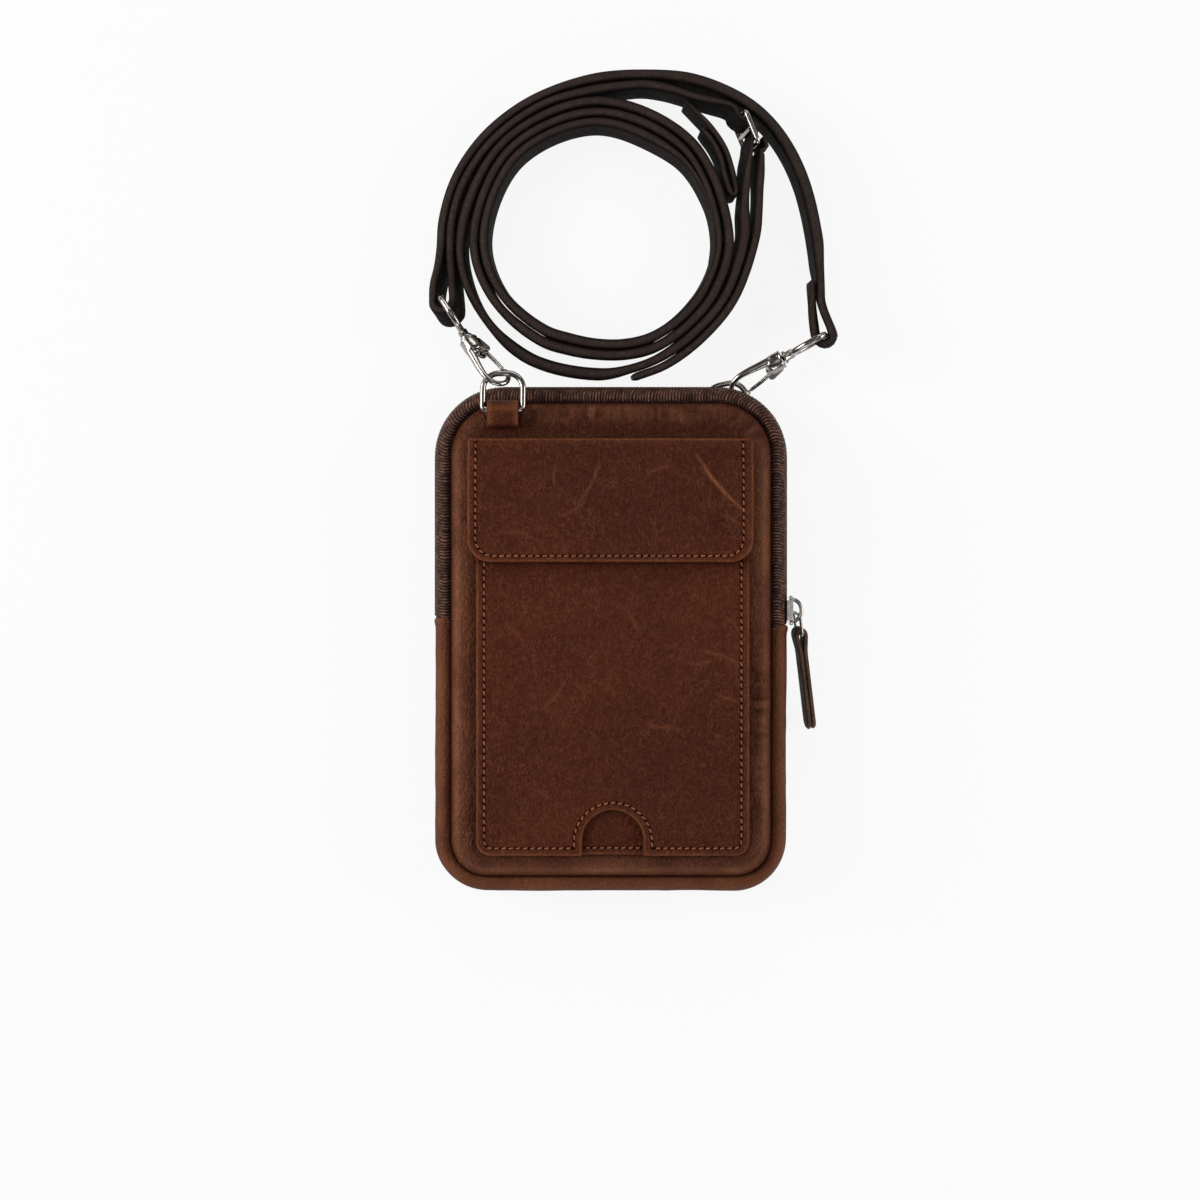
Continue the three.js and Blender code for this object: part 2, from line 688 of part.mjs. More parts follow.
// ---------------------------------------------------------------- snap hooks
function hookFrame({ x, y, z, yaw, pitch, roll }) {
  const a = V(Math.cos(rad(yaw)) * Math.cos(rad(pitch)), Math.sin(rad(yaw)) * Math.cos(rad(pitch)), Math.sin(rad(pitch)));
  const up = V(0, 0, 1).addScaledVector(a, -a.z).normalize();
  const flat = up.clone().cross(a);
  const n = up.clone().multiplyScalar(Math.cos(rad(roll))).addScaledVector(flat, Math.sin(rad(roll)));
  return { p: V(x, y, z), a, up, flat, n, l: n.clone().cross(a) };
}
// Round bar along a line of the hook, from one distance to the other.
const lathe = (profile, sides = 14) =>
  new THREE.LatheGeometry(profile.map(([r, h]) => new THREE.Vector2(r, h)), sides).rotateZ(-Math.PI / 2);
function hookPieces(side) {
  const f = hookFrame(HOOK_POSES[side]);
  const H = HOOK;
  const place = new THREE.Matrix4().makeBasis(f.a, f.l, f.n).setPosition(f.p);
  const flatZ = V(0, 0, 1);

  // Body: bored barrel, curved arm and the two ears of the gate's hinge.
  const barrel = solid(
    lathe([
      [0, 0],
      [H.barrelR - 0.5, 0],
      [H.barrelR, 0.5],
      [H.barrelR, H.barrelLength - 1],
      [H.barrelR - 0.4, H.barrelLength],
      [0, H.barrelLength],
    ]),
  );
  const bore = solid(
    lathe([
      [0, -1],
      [H.boreR, -1],
      [H.boreR, H.counterboreAt],
      [H.counterboreR, H.counterboreAt],
      [H.counterboreR, H.barrelLength + 0.01],
      [0, H.barrelLength + 0.01],
    ]),
  );
  const armLine = smooth(HOOK_ARM.map(({ along, across }) => V(along, across, 0)), 4);
  const armR = (i) => {
    const at = i / 4;
    const k = Math.min(Math.floor(at), HOOK_ARM.length - 2);
    return mix(HOOK_ARM[k].r, HOOK_ARM[k + 1].r, at - k);
  };
  const arm = solid(wire(armLine, armR, flatZ, { sides: 10 }));
  const disc = (x, y, r, z0, z1) =>
    solid(new THREE.CylinderGeometry(r, r, z1 - z0, 14).rotateX(Math.PI / 2).translate(x, y, (z0 + z1) / 2));
  const web = (z0, z1) =>
    solid(
      new THREE.BoxGeometry(2.6, 2 * H.earR, z1 - z0).translate(H.pinX - 1.5, H.pinY - 0.6, (z0 + z1) / 2),
    );
  const ear = (s) => {
    const [z0, z1] = s > 0 ? [H.earIn, H.earOut] : [-H.earOut, -H.earIn];
    return disc(H.pinX, H.pinY, H.earR, z0, z1).add(web(z0, z1));
  };
  const pinHole = disc(H.pinX, H.pinY, H.pinHoleR, -4, 4);
  const gateSlot = solid(new THREE.BoxGeometry(5.4, 4.6, 2 * H.earIn).translate(H.pinX + 0.6, H.pinY + 0.4, 0));
  const body = barrel
    .add(ear(1))
    .add(ear(-1))
    .subtract(gateSlot)
    .add(arm)
    .subtract(bore)
    .subtract(pinHole);

  // Gate: round finger with a knuckle and the pin it turns on.
  const gateLine = [V(H.pinX, H.pinY, 0), V(H.gateEndX, H.gateEndY, 0)];
  const gate = disc(H.pinX, H.pinY, 1.25, -(H.earIn - 0.3), H.earIn - 0.3)
    .add(solid(wire(gateLine, H.gateR, flatZ, { sides: 10 })))
    .add(disc(H.pinX, H.pinY, H.pinR, -(H.earOut + 0.15), H.earOut + 0.15));

  piece(`hook_${side}_body`, fromSolid(body).applyMatrix4(place), "metal");
  piece(`hook_${side}_gate`, fromSolid(gate).applyMatrix4(place), "metal");

  // Eye: a loop across the strap's width, and the headed post that the barrel turns on.
  const eyeBar = -HOOK_POSES[side].eye;
  const neck = -3.6;
  const eyeLine = thin(
    smooth(
      [
        [neck, 0],
        [neck - 0.2, 3.4],
        [neck - 1.4, 6.4],
        [eyeBar + 7.4, H.eyeHalf - 0.3],
        [eyeBar + 5, H.eyeHalf],
        [eyeBar + 1.5, H.eyeHalf],
        [eyeBar, H.eyeHalf - 1.5],
        [eyeBar, 0],
        [eyeBar, -(H.eyeHalf - 1.5)],
        [eyeBar + 1.5, -H.eyeHalf],
        [eyeBar + 5, -H.eyeHalf],
        [eyeBar + 7.4, -(H.eyeHalf - 0.3)],
        [neck - 1.4, -6.4],
        [neck - 0.2, -3.4],
        [neck, 0],
      ].map(([x, z]) => V(x, 0, z)),
      6,
    ),
    0.04,
  ).slice(0, -1);
  const loop = solid(wire(eyeLine, H.eyeR, V(0, 1, 0), { joined: true, sides: 8 }));
  const post = solid(
    lathe([
      [0, neck - 0.8],
      [H.postR + 0.5, neck - 0.8],
      [H.postR + 0.5, -1.4],
      [H.postR + 1.2, -1.2],
      [H.postR + 1.2, -0.4],
      [H.postR, -0.3],
      [H.postR, H.counterboreAt + 0.3],
      [H.headR, H.counterboreAt + 0.3],
      [H.headR, H.counterboreAt + 1.6],
      [0, H.counterboreAt + 1.6],
    ]),
  );
  const eyePlace = new THREE.Matrix4().makeBasis(f.a, f.flat, f.up).setPosition(f.p);
  piece(`hook_${side}_eye`, fromSolid(loop.add(post)).applyMatrix4(eyePlace), "metal");
  return { eye: f.p.clone().addScaledVector(f.a, eyeBar), up: f.up };
}
const EYES = { left: hookPieces("left"), right: hookPieces("right") };

// ---------------------------------------------------------------- strap
const strapZ = STRAP.width / 2;
const slideDir = V(Math.cos(rad(SLIDE.heading)), Math.sin(rad(SLIDE.heading)), 0);
const slideSide = V(-slideDir.y, slideDir.x, 0);
const slideUp = V(0, 0, Math.cos(rad(SLIDE.lean))).addScaledVector(slideSide, Math.sin(rad(SLIDE.lean)));
const slideFace = slideUp.clone().cross(slideDir); // square to the slide
const slideAt = (along, across, z = SLIDE.z) =>
  V(SLIDE.x, SLIDE.y, z).addScaledVector(slideDir, along).addScaledVector(slideSide, across);
const onSlide = (along, up) =>
  V(SLIDE.x, SLIDE.y, SLIDE.z).addScaledVector(slideDir, along).addScaledVector(slideUp, up);
// Half a turn round an eye's bar, square to it, starting on the side given by hand.
function eyeLoop(side, hand) {
  const { eye, up } = EYES[side];
  const { radius, legs } = EYE_LOOPS[side];
  const leg = V(Math.cos(rad(legs)), Math.sin(rad(legs)), 0);
  leg.addScaledVector(up, -leg.dot(up)).normalize();
  const across = leg.clone().cross(up).multiplyScalar(hand);
  return Array.from({ length: 7 }, (_, k) => {
    const t = (Math.PI * k) / 6;
    return eye
      .clone()
      .addScaledVector(across, radius * Math.cos(t))
      .addScaledVector(leg, -radius * Math.sin(t));
  });
}
const run = (table) => table.map((row) => polar(row, strapZ));
// Through the slide: left of the end bars, right of the middle one.
const weave = Array.from({ length: 7 }, (_, k) => {
  const x = -SLIDE.pitch + (SLIDE.pitch * k) / 3;
  return slideAt(x, SLIDE.weave * Math.cos((Math.PI * x) / SLIDE.pitch));
});
const lead = [
  { x: 47.9, y: 169.2 },
  { x: 47.6, y: 162.5 },
].map(({ x, y }) => V(x, y, strapZ));
const strapLine = smooth(
  [
    ...run([...FOLD_BACK].reverse()),
    ...eyeLoop("right", -1),
    ...run(STRAP_OUTER_RUN),
    ...eyeLoop("left", -1),
    ...run(STRAP_INNER_RUN),
    slideAt(-1.55 * SLIDE.pitch, -1.3 * SLIDE.weave, strapZ),
    ...weave,
    ...lead,
    ...run(STRAP_COIL),
  ],
  12,
);
const eyeNear = (p, side) => 1 - step(5, 26, Math.hypot(p.x - EYES[side].eye.x, p.y - EYES[side].eye.y));
const slideNear = (p) => 1 - step(9, 34, Math.hypot(p.x - SLIDE.x, p.y - SLIDE.y));
const leaning = (p) =>
  V(p.x - COIL_CENTRE.x, p.y - COIL_CENTRE.y)
    .setLength(Math.sin(rad(STRAP.lean)))
    .setZ(Math.cos(rad(STRAP.lean)));
const atSlide = (p) => 1 - step(8, 24, Math.hypot(p.x - SLIDE.x, p.y - SLIDE.y));
const strapUp = (p) =>
  leaning(p)
    .lerp(slideUp, Math.hypot(p.x - COIL_CENTRE.x, p.y - COIL_CENTRE.y) < 68 ? atSlide(p) : 0)
    .lerp(EYES.left.up, eyeNear(p, "left"))
    .lerp(EYES.right.up, eyeNear(p, "right"))
    .normalize();
// The strap lifts a little where it runs through metal that is taller than it is.
const strapRun = [0];
strapLine.forEach((p, i) => i && strapRun.push(strapRun[i - 1] + p.distanceTo(strapLine[i - 1])));
const fromSlide = strapLine.map((p) => Math.hypot(p.x - SLIDE.x, p.y - SLIDE.y));
const slideRun = strapRun[fromSlide.indexOf(Math.min(...fromSlide))];
strapLine.forEach((p, i) => (p.z = mix(p.z, SLIDE.z, 1 - step(9, 36, Math.abs(strapRun[i] - slideRun)))));
const strapPoints = thin(strapLine, 0.07);
piece(
  "strap",
  ribbon(strapPoints, {
    up: strapUp,
    wall: (p, s, total) => {
      const pinch = 1 - step(7, 17, Math.hypot(p.x - SLIDE.x, p.y - SLIDE.y));
      const ends = Math.min(step(0, 9, s), step(0, 60, total - s));
      return mix(STRAP.wall, STRAP.wallAtSlide, pinch * (Math.hypot(p.x - COIL_CENTRE.x, p.y - COIL_CENTRE.y) < 69 ? 1 : 0)) * mix(0.45, 1, ends);
    },
    width: () => STRAP.width,
  }),
  "strap",
);

const overlayStart = [slideAt(SLIDE.pitch - 1.2, SLIDE.weave + 0.35), slideAt(SLIDE.pitch + 2.2, SLIDE.weave + 0.75)];
const overlayLine = smooth([...overlayStart, ...run(OVERLAY_RUN)], 10);
overlayLine.forEach((p) => (p.z = mix(strapZ, SLIDE.z, slideNear(p))));
piece(
  "strap_overlay",
  ribbon(thin(overlayLine, 0.05), {
    up: (p) => leaning(p).lerp(slideUp, atSlide(p)),
    wall: (p, s) => mix(1.6, STRAP.wall, step(2, 14, s)),
    width: () => STRAP.width,
  }),
  "strap",
);
piece(
  "strap_tail",
  ribbon(thin(smooth(run(TAIL_RUN), 8), 0.03), {
    up: (p) => leaning(p),
    wall: (p, s, total) => TAIL.wall * mix(0.5, 1, Math.min(step(0, 12, s), step(0, 4, total - s))),
    width: () => STRAP.width,
  }),
  "strap",
);

// Slide: two rails and three bars of round wire.
const rail = (z) =>
  solid(
    wire([-1, -0.5, 0, 0.5, 1].map((t) => onSlide(t * (SLIDE.pitch + 0.35), z)), SLIDE.r, slideFace, {
      sides: 10,
    }),
  );
const bar = (along) =>
  solid(
    wire([onSlide(along, -SLIDE.halfHeight), onSlide(along, SLIDE.halfHeight)], SLIDE.r, slideFace, {
      sides: 10,
    }),
  );
piece(
  "strap_slide",
  fromSolid(
    rail(SLIDE.halfHeight)
      .add(rail(-SLIDE.halfHeight))
      .add(bar(-SLIDE.pitch))
      .add(bar(0))
      .add(bar(SLIDE.pitch)),
  ),
  "metal",
);

// ---------------------------------------------------------------- zip slider and pull
{
  const S = SLIDER;
  const x0 = BAG.halfWidth + S.base;
  const outline = new THREE.Shape();
  const [h, w, c] = [S.halfLength, S.halfHeight, 1.8];
  outline.moveTo(-h + c, -w).lineTo(h - c, -w + 0.6).absarc(h - c, -w + 0.6 + c, c, -Math.PI / 2, 0, false);
  outline.absarc(h - c, w - 0.6 - c, c, 0, Math.PI / 2, false).lineTo(-h + c, w);
  outline.absarc(-h + c, w - c, c, Math.PI / 2, Math.PI, false).absarc(-h + c, -w + c, c, Math.PI, 1.5 * Math.PI, false);
  const toSide = new THREE.Matrix4().makeBasis(V(0, 1, 0), V(0, 0, 1), V(1, 0, 0)).setPosition(V(x0, S.y, MID));
  const top = solid(
    new THREE.ExtrudeGeometry(outline, { depth: S.wall, bevelEnabled: false, curveSegments: 4 }).applyMatrix4(toSide),
  );
  const flange = (s) =>
    solid(
      new THREE.BoxGeometry(2.2, 2 * h - 3.4, 0.9).translate(x0 + S.wall - 1.3, S.y, MID + s * (w - 0.45)),
    );
  const arch = Array.from({ length: 11 }, (_, k) => {
    const t = (Math.PI * k) / 10;
    return V(x0 + S.wall - 0.3 + S.bridge * Math.sin(t), S.y + 3.9 * Math.cos(t), MID);
  });
  const bridge = solid(wire(arch, S.wire, V(0, 0, 1), { sides: 8 }));
  piece("zip_slider", fromSolid(top.add(flange(1)).add(flange(-1)).add(bridge)), "metal");

  const from = V(...PULL_LINE.from);
  const dir = V(...PULL_LINE.to).sub(from).normalize();
  const wide = V(Math.sin(rad(PULL_LINE.lean)), 0, Math.cos(rad(PULL_LINE.lean)));
  wide.addScaledVector(dir, -wide.dot(dir)).normalize();
  const face = wide.clone().cross(dir).normalize();
  const P = PULL_RING;
  const loop = roundRect(P.halfWidth, P.length / 2, P.corner, { cornerSteps: 4, across: 2, along: 2 }).map((q) =>
    from.clone().addScaledVector(wide, q.x).addScaledVector(dir, P.length / 2 - q.y),
  );
  piece("zip_pull_ring", wire(loop, P.r, face, { sides: 8, joined: true }), "metal");

  // Leather pull: one strip folded over the ring's far bar, both plies side by side.
  const bend = P.r + PULL.clear + PULL.wall / 2;
  const ply = PULL.wall / 2 + 0.16;
  const hinge = from.clone().addScaledVector(dir, P.length);
  const at = (s, q) => hinge.clone().addScaledVector(dir, s).addScaledVector(face, q);
  const half = [
    [PULL.length, ply],
    [PULL.length - 1.2, ply],
    [PULL.length - 3.6, ply],
    [12, ply],
    [6, ply + 0.06],
    [2.4, mix(ply, bend, 0.75)],
  ];
  const line = smooth(
    [
      ...half.map(([s, q]) => at(s, -q)),
      ...[-90, -45, 0, 45, 90].map((t) => at(-bend * Math.cos(rad(t)), bend * Math.sin(rad(t)))),
      ...[...half].reverse().map(([s, q]) => at(s, q)),
    ],
    5,
  );
  const wideness = (p) => {
    const s = p.clone().sub(hinge).dot(dir);
    const fromEnd = Math.max(PULL.length - s, 0);
    const r = PULL.width / 2;
    return fromEnd < r ? 2 * Math.sqrt(Math.max(r * r - (r - fromEnd) ** 2, 1.2)) : PULL.width;
  };
  piece(
    "zip_pull_tab",
    ribbon(thin(line, 0.03), { up: () => wide, wall: () => PULL.wall, width: wideness }),
    "strap",
  );
}

export default group;
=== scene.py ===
import math

import bpy
import numpy as np
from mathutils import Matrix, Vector
from mathutils.geometry import delaunay_2d_cdt


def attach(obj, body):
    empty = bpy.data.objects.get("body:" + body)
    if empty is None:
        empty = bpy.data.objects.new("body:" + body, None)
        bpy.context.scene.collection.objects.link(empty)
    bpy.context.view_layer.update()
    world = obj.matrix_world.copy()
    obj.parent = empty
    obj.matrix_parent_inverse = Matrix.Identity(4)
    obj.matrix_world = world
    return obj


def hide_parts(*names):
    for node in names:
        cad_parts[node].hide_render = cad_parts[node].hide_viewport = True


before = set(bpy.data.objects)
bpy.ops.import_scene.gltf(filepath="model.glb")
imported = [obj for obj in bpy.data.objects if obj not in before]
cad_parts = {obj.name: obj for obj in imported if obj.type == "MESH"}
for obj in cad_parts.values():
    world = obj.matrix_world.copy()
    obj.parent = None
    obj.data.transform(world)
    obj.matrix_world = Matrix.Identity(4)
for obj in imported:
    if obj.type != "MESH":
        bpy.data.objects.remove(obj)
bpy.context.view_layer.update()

MM = 0.001
scene = bpy.context.scene

# ------------------------------------------------------------------ sizes (mm)
BAG = dict(a=57.0, b=84.2, corner=13.0, top_corner=19.0, depth=23.8, seam_back=6.3, seam_front=17.7, wall=1.8, zip_left=7.6, zip_right=5.0)
MID = 12.0
PANEL_ROLL = [(0, 0), (1, 1.9), (2.6, 3.7), (5, 5.2), (8, 5.9), (11, 6.1), (60, 6.1)]
PANEL_LINING = [(1.7, -0.5), (3.2, 1.9), (5.4, 3.3), (8.3, 4.1), (11.2, 4.3), (56, 4.3)]
GUSSET_OUTER = [(-0.6, 4.95), (0.3, 5.2), (1.8, 5.9), (3.8, 5.2), (5.3, 3.0), (5.8, 0)]
GUSSET_INNER = [(-0.6, 4.3), (0.3, 3.8), (1.7, 4.2), (2.9, 3.6), (3.8, 2.1), (4.1, 0)]
LIP = dict(length=3.0, proud=0.5)
TAPE_OUTER = [(-0.6, 4.95), (0.3, 5.2), (1.6, 5.9), (3.2, 5.4), (4.8, 3.8), (5.6, 1.6)]
TAPE_INNER = [(-0.6, 4.4), (0.3, 4.25), (1.5, 4.6), (2.8, 4.2), (3.9, 3.1), (4.6, 1.4)]
COIL = dict(out=5.35, r=1.0, pitch=1.25)
POCKET = dict(x=0.6, half=48.0, bottom=-76.0, top=60.0, corner=5.0, arch_half=10.9, arch_top=-59.9)
BACKING_Z = (24.1, 25.3)
POCKET_Z = (25.6, 27.1)
FLAP = dict(x=-0.2, half=50.2, top=71.0, bottom=27.4, corner=8.0, wall=1.5)
FLAP_DROP = [(27, 3.6), (59.5, 3.6), (61.5, 3.25), (64, 2.35), (67, 1.25), (69.8, 0.45), (71, 0.3)]
RING = dict(half=7.15, length=12.9, corner=5.6, bar_corner=1.4, r=1.05)
RING_POSES = dict(left=(-38.2, 81.2, 25.22, -5.66, 6.13, 0.2), right=(43.5, 79.3, 3.1, 2.75, 7.05, 11.67))
TAB = dict(left=11.2, right=9.4, wall=1.0)
TAB_LEFT = [(82.9, 21.15), (82.1, 22.05), (80.6, 22.95), (78, 24.05), (75.8, 24.6), (75.1, 25.2), (75.8, 25.85),
            (78, 27.0), (80, 27.8), (81.8, 27.85), (83.4, 26.3), (84.2, 23.2), (84.5, 20.3)]
TAB_RIGHT = [(83.8, 5.5), (81.5, 5.6), (79, 5.55), (76.8, 5.0), (75.8, 3.1), (76.8, 1.2), (79, 0.68), (81.5, 0.72),
             (83.4, 1.9), (84.1, 4.2)]
DENT = dict(x0=33.0, x1=52.5, y0=74.6, soft=6.0, height=6.3)
STRAP = dict(width=15.0, wall=2.95, fullest=4.5, wall_at_slide=1.7, lean=4.5)
COIL_CENTRE = (-5.0, 143.9)
# Strap runs: angle from +X and radius about the coil's centre.
OUTER_RUN = [(-15.8, 84), (-8.2, 80), (0, 78.1), (15, 76), (27, 74.6), (37.5, 72.6), (47.4, 69.4), (60, 64.8), (74, 59.8),
             (91, 56.0), (109, 53.9), (124, 53.3), (141, 53.5), (158, 54.2), (174, 54.9), (185, 55.5), (192, 57.2),
             (198.2, 60.2)]
INNER_RUN = [(199.5, 53.7), (192.4, 52.6), (185, 52.1), (174, 51.7), (158, 51.0), (141, 50.3), (124, 50.1), (109, 50.7),
             (91, 52.0), (80, 54.2), (72, 56.6), (64, 58.3), (55, 60.2)]
COIL_RUN = [(10, 53.0), (0, 52.3), (-24, 50.1), (-43, 48.5), (-61, 48.3), (-75, 48.3), (-90, 48.7), (-120, 49.4),
            (-150, 49.2), (-180, 48.2), (-225, 46.9), (-270, 47.9), (-315, 47.3), (-360, 46.7), (-384, 46.0),
            (-403, 44.9), (-421, 44.3), (-435, 43.0), (-450, 41.6), (-465, 41.2), (-480, 41.8), (-510, 43.0),
            (-540, 43.5), (-585, 43.5), (-630, 44.0), (-675, 43.6), (-720, 43.0), (-744, 42.3), (-763, 41.3),
            (-781, 40.5), (-795, 39.2), (-810, 37.8), (-825, 37.2), (-840, 37.8), (-870, 39.2), (-900, 40.0),
            (-945, 40.2), (-990, 40.5), (-1035, 40.2), (-1062, 40.4), (-1080, 40.7), (-1095, 40.9)]
OVERLAY_RUN = [(27.5, 65.2), (19, 60.8), (10, 58.2), (0, 56.4), (-24, 53.5), (-43, 51.9), (-61, 51.7), (-76, 51.7)]
TAIL_RUN = [(57, 57.1), (52.9, 56.5), (44.1, 55.9), (34.5, 55.0), (27, 53.5), (21.5, 52.5), (18.4, 52.1), (17.2, 51.4),
            (17.2, 50.4), (18.6, 49.85), (21.5, 49.8), (25.5, 50.1), (32.7, 51.9), (39.6, 52.9), (46, 53.2)]
TAIL_WALL = 1.9
FOLD_BACK = [(-16.4, 80.6), (-11.4, 78.1)]
SLIDE = dict(x=48.5, y=181.5, z=10.2, heading=-67.7, pitch=6.0, half=8.7, r=0.9, weave=2.15, lean=12.0)
HOOK = dict(pin=(6.3, 3.5), pin_r=0.6, ear_r=1.75, ear_in=1.15, ear_out=2.0, gate_end=(15.3, 5.9), gate_r=0.85,
            eye_r=1.1, eye_half=9.3, bore_at=3.0)
HOOK_ARM = [(5.0, -1.95, 1.5), (9.0, -2.2, 1.36), (13.0, -2.5, 1.18), (17.0, -2.3, 1.0), (20.0, -1.0, 0.9),
            (21.5, 1.4, 0.9), (21.3, 4.0, 0.9), (19.9, 5.8, 0.9), (17.9, 6.5, 0.88), (16.75, 6.4, 0.85)]
HOOK_POSES = dict(left=(-50.87, 106.47, 17.52, -57.13, 23.86, 38.25, 15.83),
                  right=(61.78, 100.77, 9.16, 208.17, -8.6, 44.33, 16.8))
EYE_LOOPS = dict(left=(3.6, 84.0), right=(2.95, 104.0))
SLIDER = dict(y=10.3, half_length=5.3, half_height=3.9, base=6.8, wall=1.3, bridge=3.4, wire=0.75)
PULL_RING = dict(length=7.4, half=4.3, corner=0.8, r=0.55)
PULL = dict(wall=1.6, width=6.4, length=35.0, clear=0.25)
PULL_LINE = dict(start=(66.6, 9.15, 12.0), end=(72.2, -33.2, 4.3), lean=9.0)


# ------------------------------------------------------------------ numbers
def arr(*v):
    return np.array(v, float)


def unit(v):
    v = np.asarray(v, float)
    return v / np.linalg.norm(v, axis=-1, keepdims=True)


def step(a, b, t):
    s = np.clip((np.asarray(t, float) - a) / (b - a), 0, 1)
    return s * s * (3 - 2 * s)


def mix(a, b, t):
    return a + (b - a) * t


def rad(d):
    return np.radians(d)


def pchip(rows):
    """Smooth curve through table rows that never overshoots them."""
    x, y = (np.array(c, float) for c in zip(*rows))
    h, d = np.diff(x), np.diff(y) / np.diff(x)
    m = np.zeros(len(x))
    m[0], m[-1] = d[0], d[-1]
    for k in range(1, len(x) - 1):
        if d[k - 1] * d[k] > 0:
            w1, w2 = 2 * h[k] + h[k - 1], h[k] + 2 * h[k - 1]
            m[k] = (w1 + w2) / (w1 / d[k - 1] + w2 / d[k])

    def f(q):
        q = np.clip(np.asarray(q, float), x[0], x[-1])
        k = np.clip(np.searchsorted(x, q, side="right") - 1, 0, len(x) - 2)
        t = (q - x[k]) / h[k]
        return ((1 + 2 * t) * (1 - t) ** 2 * y[k] + t * (1 - t) ** 2 * h[k] * m[k]
                + t * t * (3 - 2 * t) * y[k + 1] + t * t * (t - 1) * h[k] * m[k + 1])

    return f


_lattices = {}


def noise(p, size, seed):
    """Smooth noise from -1 to 1 with features of about size mm."""
    if seed not in _lattices:
        _lattices[seed] = np.random.default_rng(seed).uniform(-1, 1, (48, 48, 48))
    grid = _lattices[seed]
    q = np.asarray(p, float) / size
    i = np.floor(q).astype(int)
    f = q - i
    f = f * f * (3 - 2 * f)
    out = 0
    for dx in (0, 1):
        for dy in (0, 1):
            for dz in (0, 1):
                w = (f[..., 0] if dx else 1 - f[..., 0]) * (f[..., 1] if dy else 1 - f[..., 1]) * (
                    f[..., 2] if dz else 1 - f[..., 2])
                out = out + w * grid[(i[..., 0] + dx) % 48, (i[..., 1] + dy) % 48, (i[..., 2] + dz) % 48]
    return out


def noise2(x, y, size, seed):
    return noise(np.stack([x, y, np.full_like(np.asarray(x, float), 3.7 * size)], -1), size, seed)


def smooth(controls, per=14):
    """Centripetal Catmull-Rom curve through the control points."""
    c = np.asarray(controls, float)
    out = []
    for i in range(len(c) - 1):
        p1, p2 = c[i], c[i + 1]
        p0 = c[i - 1] if i else 2 * c[0] - c[1]
        p3 = c[i + 2] if i + 2 < len(c) else 2 * c[-1] - c[-2]
        d0, d1, d2 = (np.sum((q - r) ** 2) ** 0.25 for q, r in ((p0, p1), (p1, p2), (p2, p3)))
        d1 = d1 if d1 > 1e-4 else 1.0
        d0, d2 = (d if d > 1e-4 else d1 for d in (d0, d2))
        t1 = ((p1 - p0) / d0 - (p2 - p0) / (d0 + d1) + (p2 - p1) / d1) * d1
        t2 = ((p2 - p1) / d1 - (p3 - p1) / (d1 + d2) + (p3 - p2) / d2) * d1
        t = (np.arange(per) / per)[:, None]
        out.append(p1 + t1 * t + (3 * p2 - 3 * p1 - 2 * t1 - t2) * t ** 2 + (2 * p1 - 2 * p2 + t1 + t2) * t ** 3)
    return np.vstack([*out, c[-1:]])


def lengths(p):
    return np.concatenate([[0], np.cumsum(np.linalg.norm(np.diff(p, axis=0), axis=1))])


def resample(p, gap):
    """Points at even distances along a line."""
    s = lengths(p)
    n = max(int(round(s[-1] / gap)), 1) + 1
    at = np.linspace(0, s[-1], n)
    return np.stack([np.interp(at, s, p[:, k]) for k in range(p.shape[1])], 1)


# ------------------------------------------------------------------ meshes
def new_object(name, verts, polys, material, attrs=None):
    """Mesh object from points in mm and arrays of triangles and quads, faces turned outwards."""
    v = np.asarray(verts, float) * MM
    polys = [np.asarray(p, np.int64) for p in polys if len(p)]
    volume = 0.0
    for p in polys:
        for k in range(1, p.shape[1] - 1):
            a, b, c = v[p[:, 0]], v[p[:, k]], v[p[:, k + 1]]
            volume += np.sum(a * np.cross(b, c))
    if volume < 0:
        polys = [p[:, ::-1] for p in polys]
    me = bpy.data.meshes.new(name)
    me.vertices.add(len(v))
    me.vertices.foreach_set("co", v.astype(np.float32).ravel())
    loops = np.concatenate([p.ravel() for p in polys]).astype(np.int32)
    sizes = np.concatenate([np.full(len(p), p.shape[1]) for p in polys])
    me.loops.add(len(loops))
    me.loops.foreach_set("vertex_index", loops)
    me.polygons.add(len(sizes))
    me.polygons.foreach_set("loop_start", np.concatenate([[0], np.cumsum(sizes)[:-1]]).astype(np.int32))
    me.polygons.foreach_set("use_smooth", np.ones(len(sizes), bool))
    me.update(calc_edges=True)
    me.validate()
    for key, values in (attrs or {}).items():
        at = me.attributes.new(key, "FLOAT", "POINT")
        at.data.foreach_set("value", np.asarray(values, np.float32))
    me.materials.append(material)
    obj = bpy.data.objects.new(name, me)
    scene.collection.objects.link(obj)
    return obj


def tube(grid, joined=False, shell=False):
    """Faces over a grid of sections, n by m points; ends get fans, or strips when the section is a bent wall."""
    n, m, _ = grid.shape
    ids = np.arange(n * m).reshape(n, m)
    rows = np.arange(n if joined else n - 1)
    a, b = ids[rows], ids[(rows + 1) % n]
    polys = [np.stack([a, np.roll(a, -1, 1), np.roll(b, -1, 1), b], -1).reshape(-1, 4)]
    verts = grid.reshape(-1, 3)
    if not joined and shell:
        half = m // 2
        for row, flip in ((ids[0], True), (ids[-1], False)):
            o, i = row[:half], row[half:][::-1]
            q = np.stack([o[:-1], o[1:], i[1:], i[:-1]], -1)
            polys.append(q[:, ::-1] if flip else q)
    elif not joined:
        k = len(verts)
        verts = np.vstack([verts, grid[0].mean(0), grid[-1].mean(0)])
        polys.append(np.stack([np.full(m, k), np.roll(ids[0], -1), ids[0]], -1))
        polys.append(np.stack([np.full(m, k + 1), ids[-1], np.roll(ids[-1], -1)], -1))
    return verts, polys


def merge(parts):
    """Several (points, polygons) as one."""
    verts, polys, base = [], [], 0
    for v, ps in parts:
        verts.append(v)
        polys += [p + base for p in ps]
        base += len(v)
    return np.vstack(verts), polys


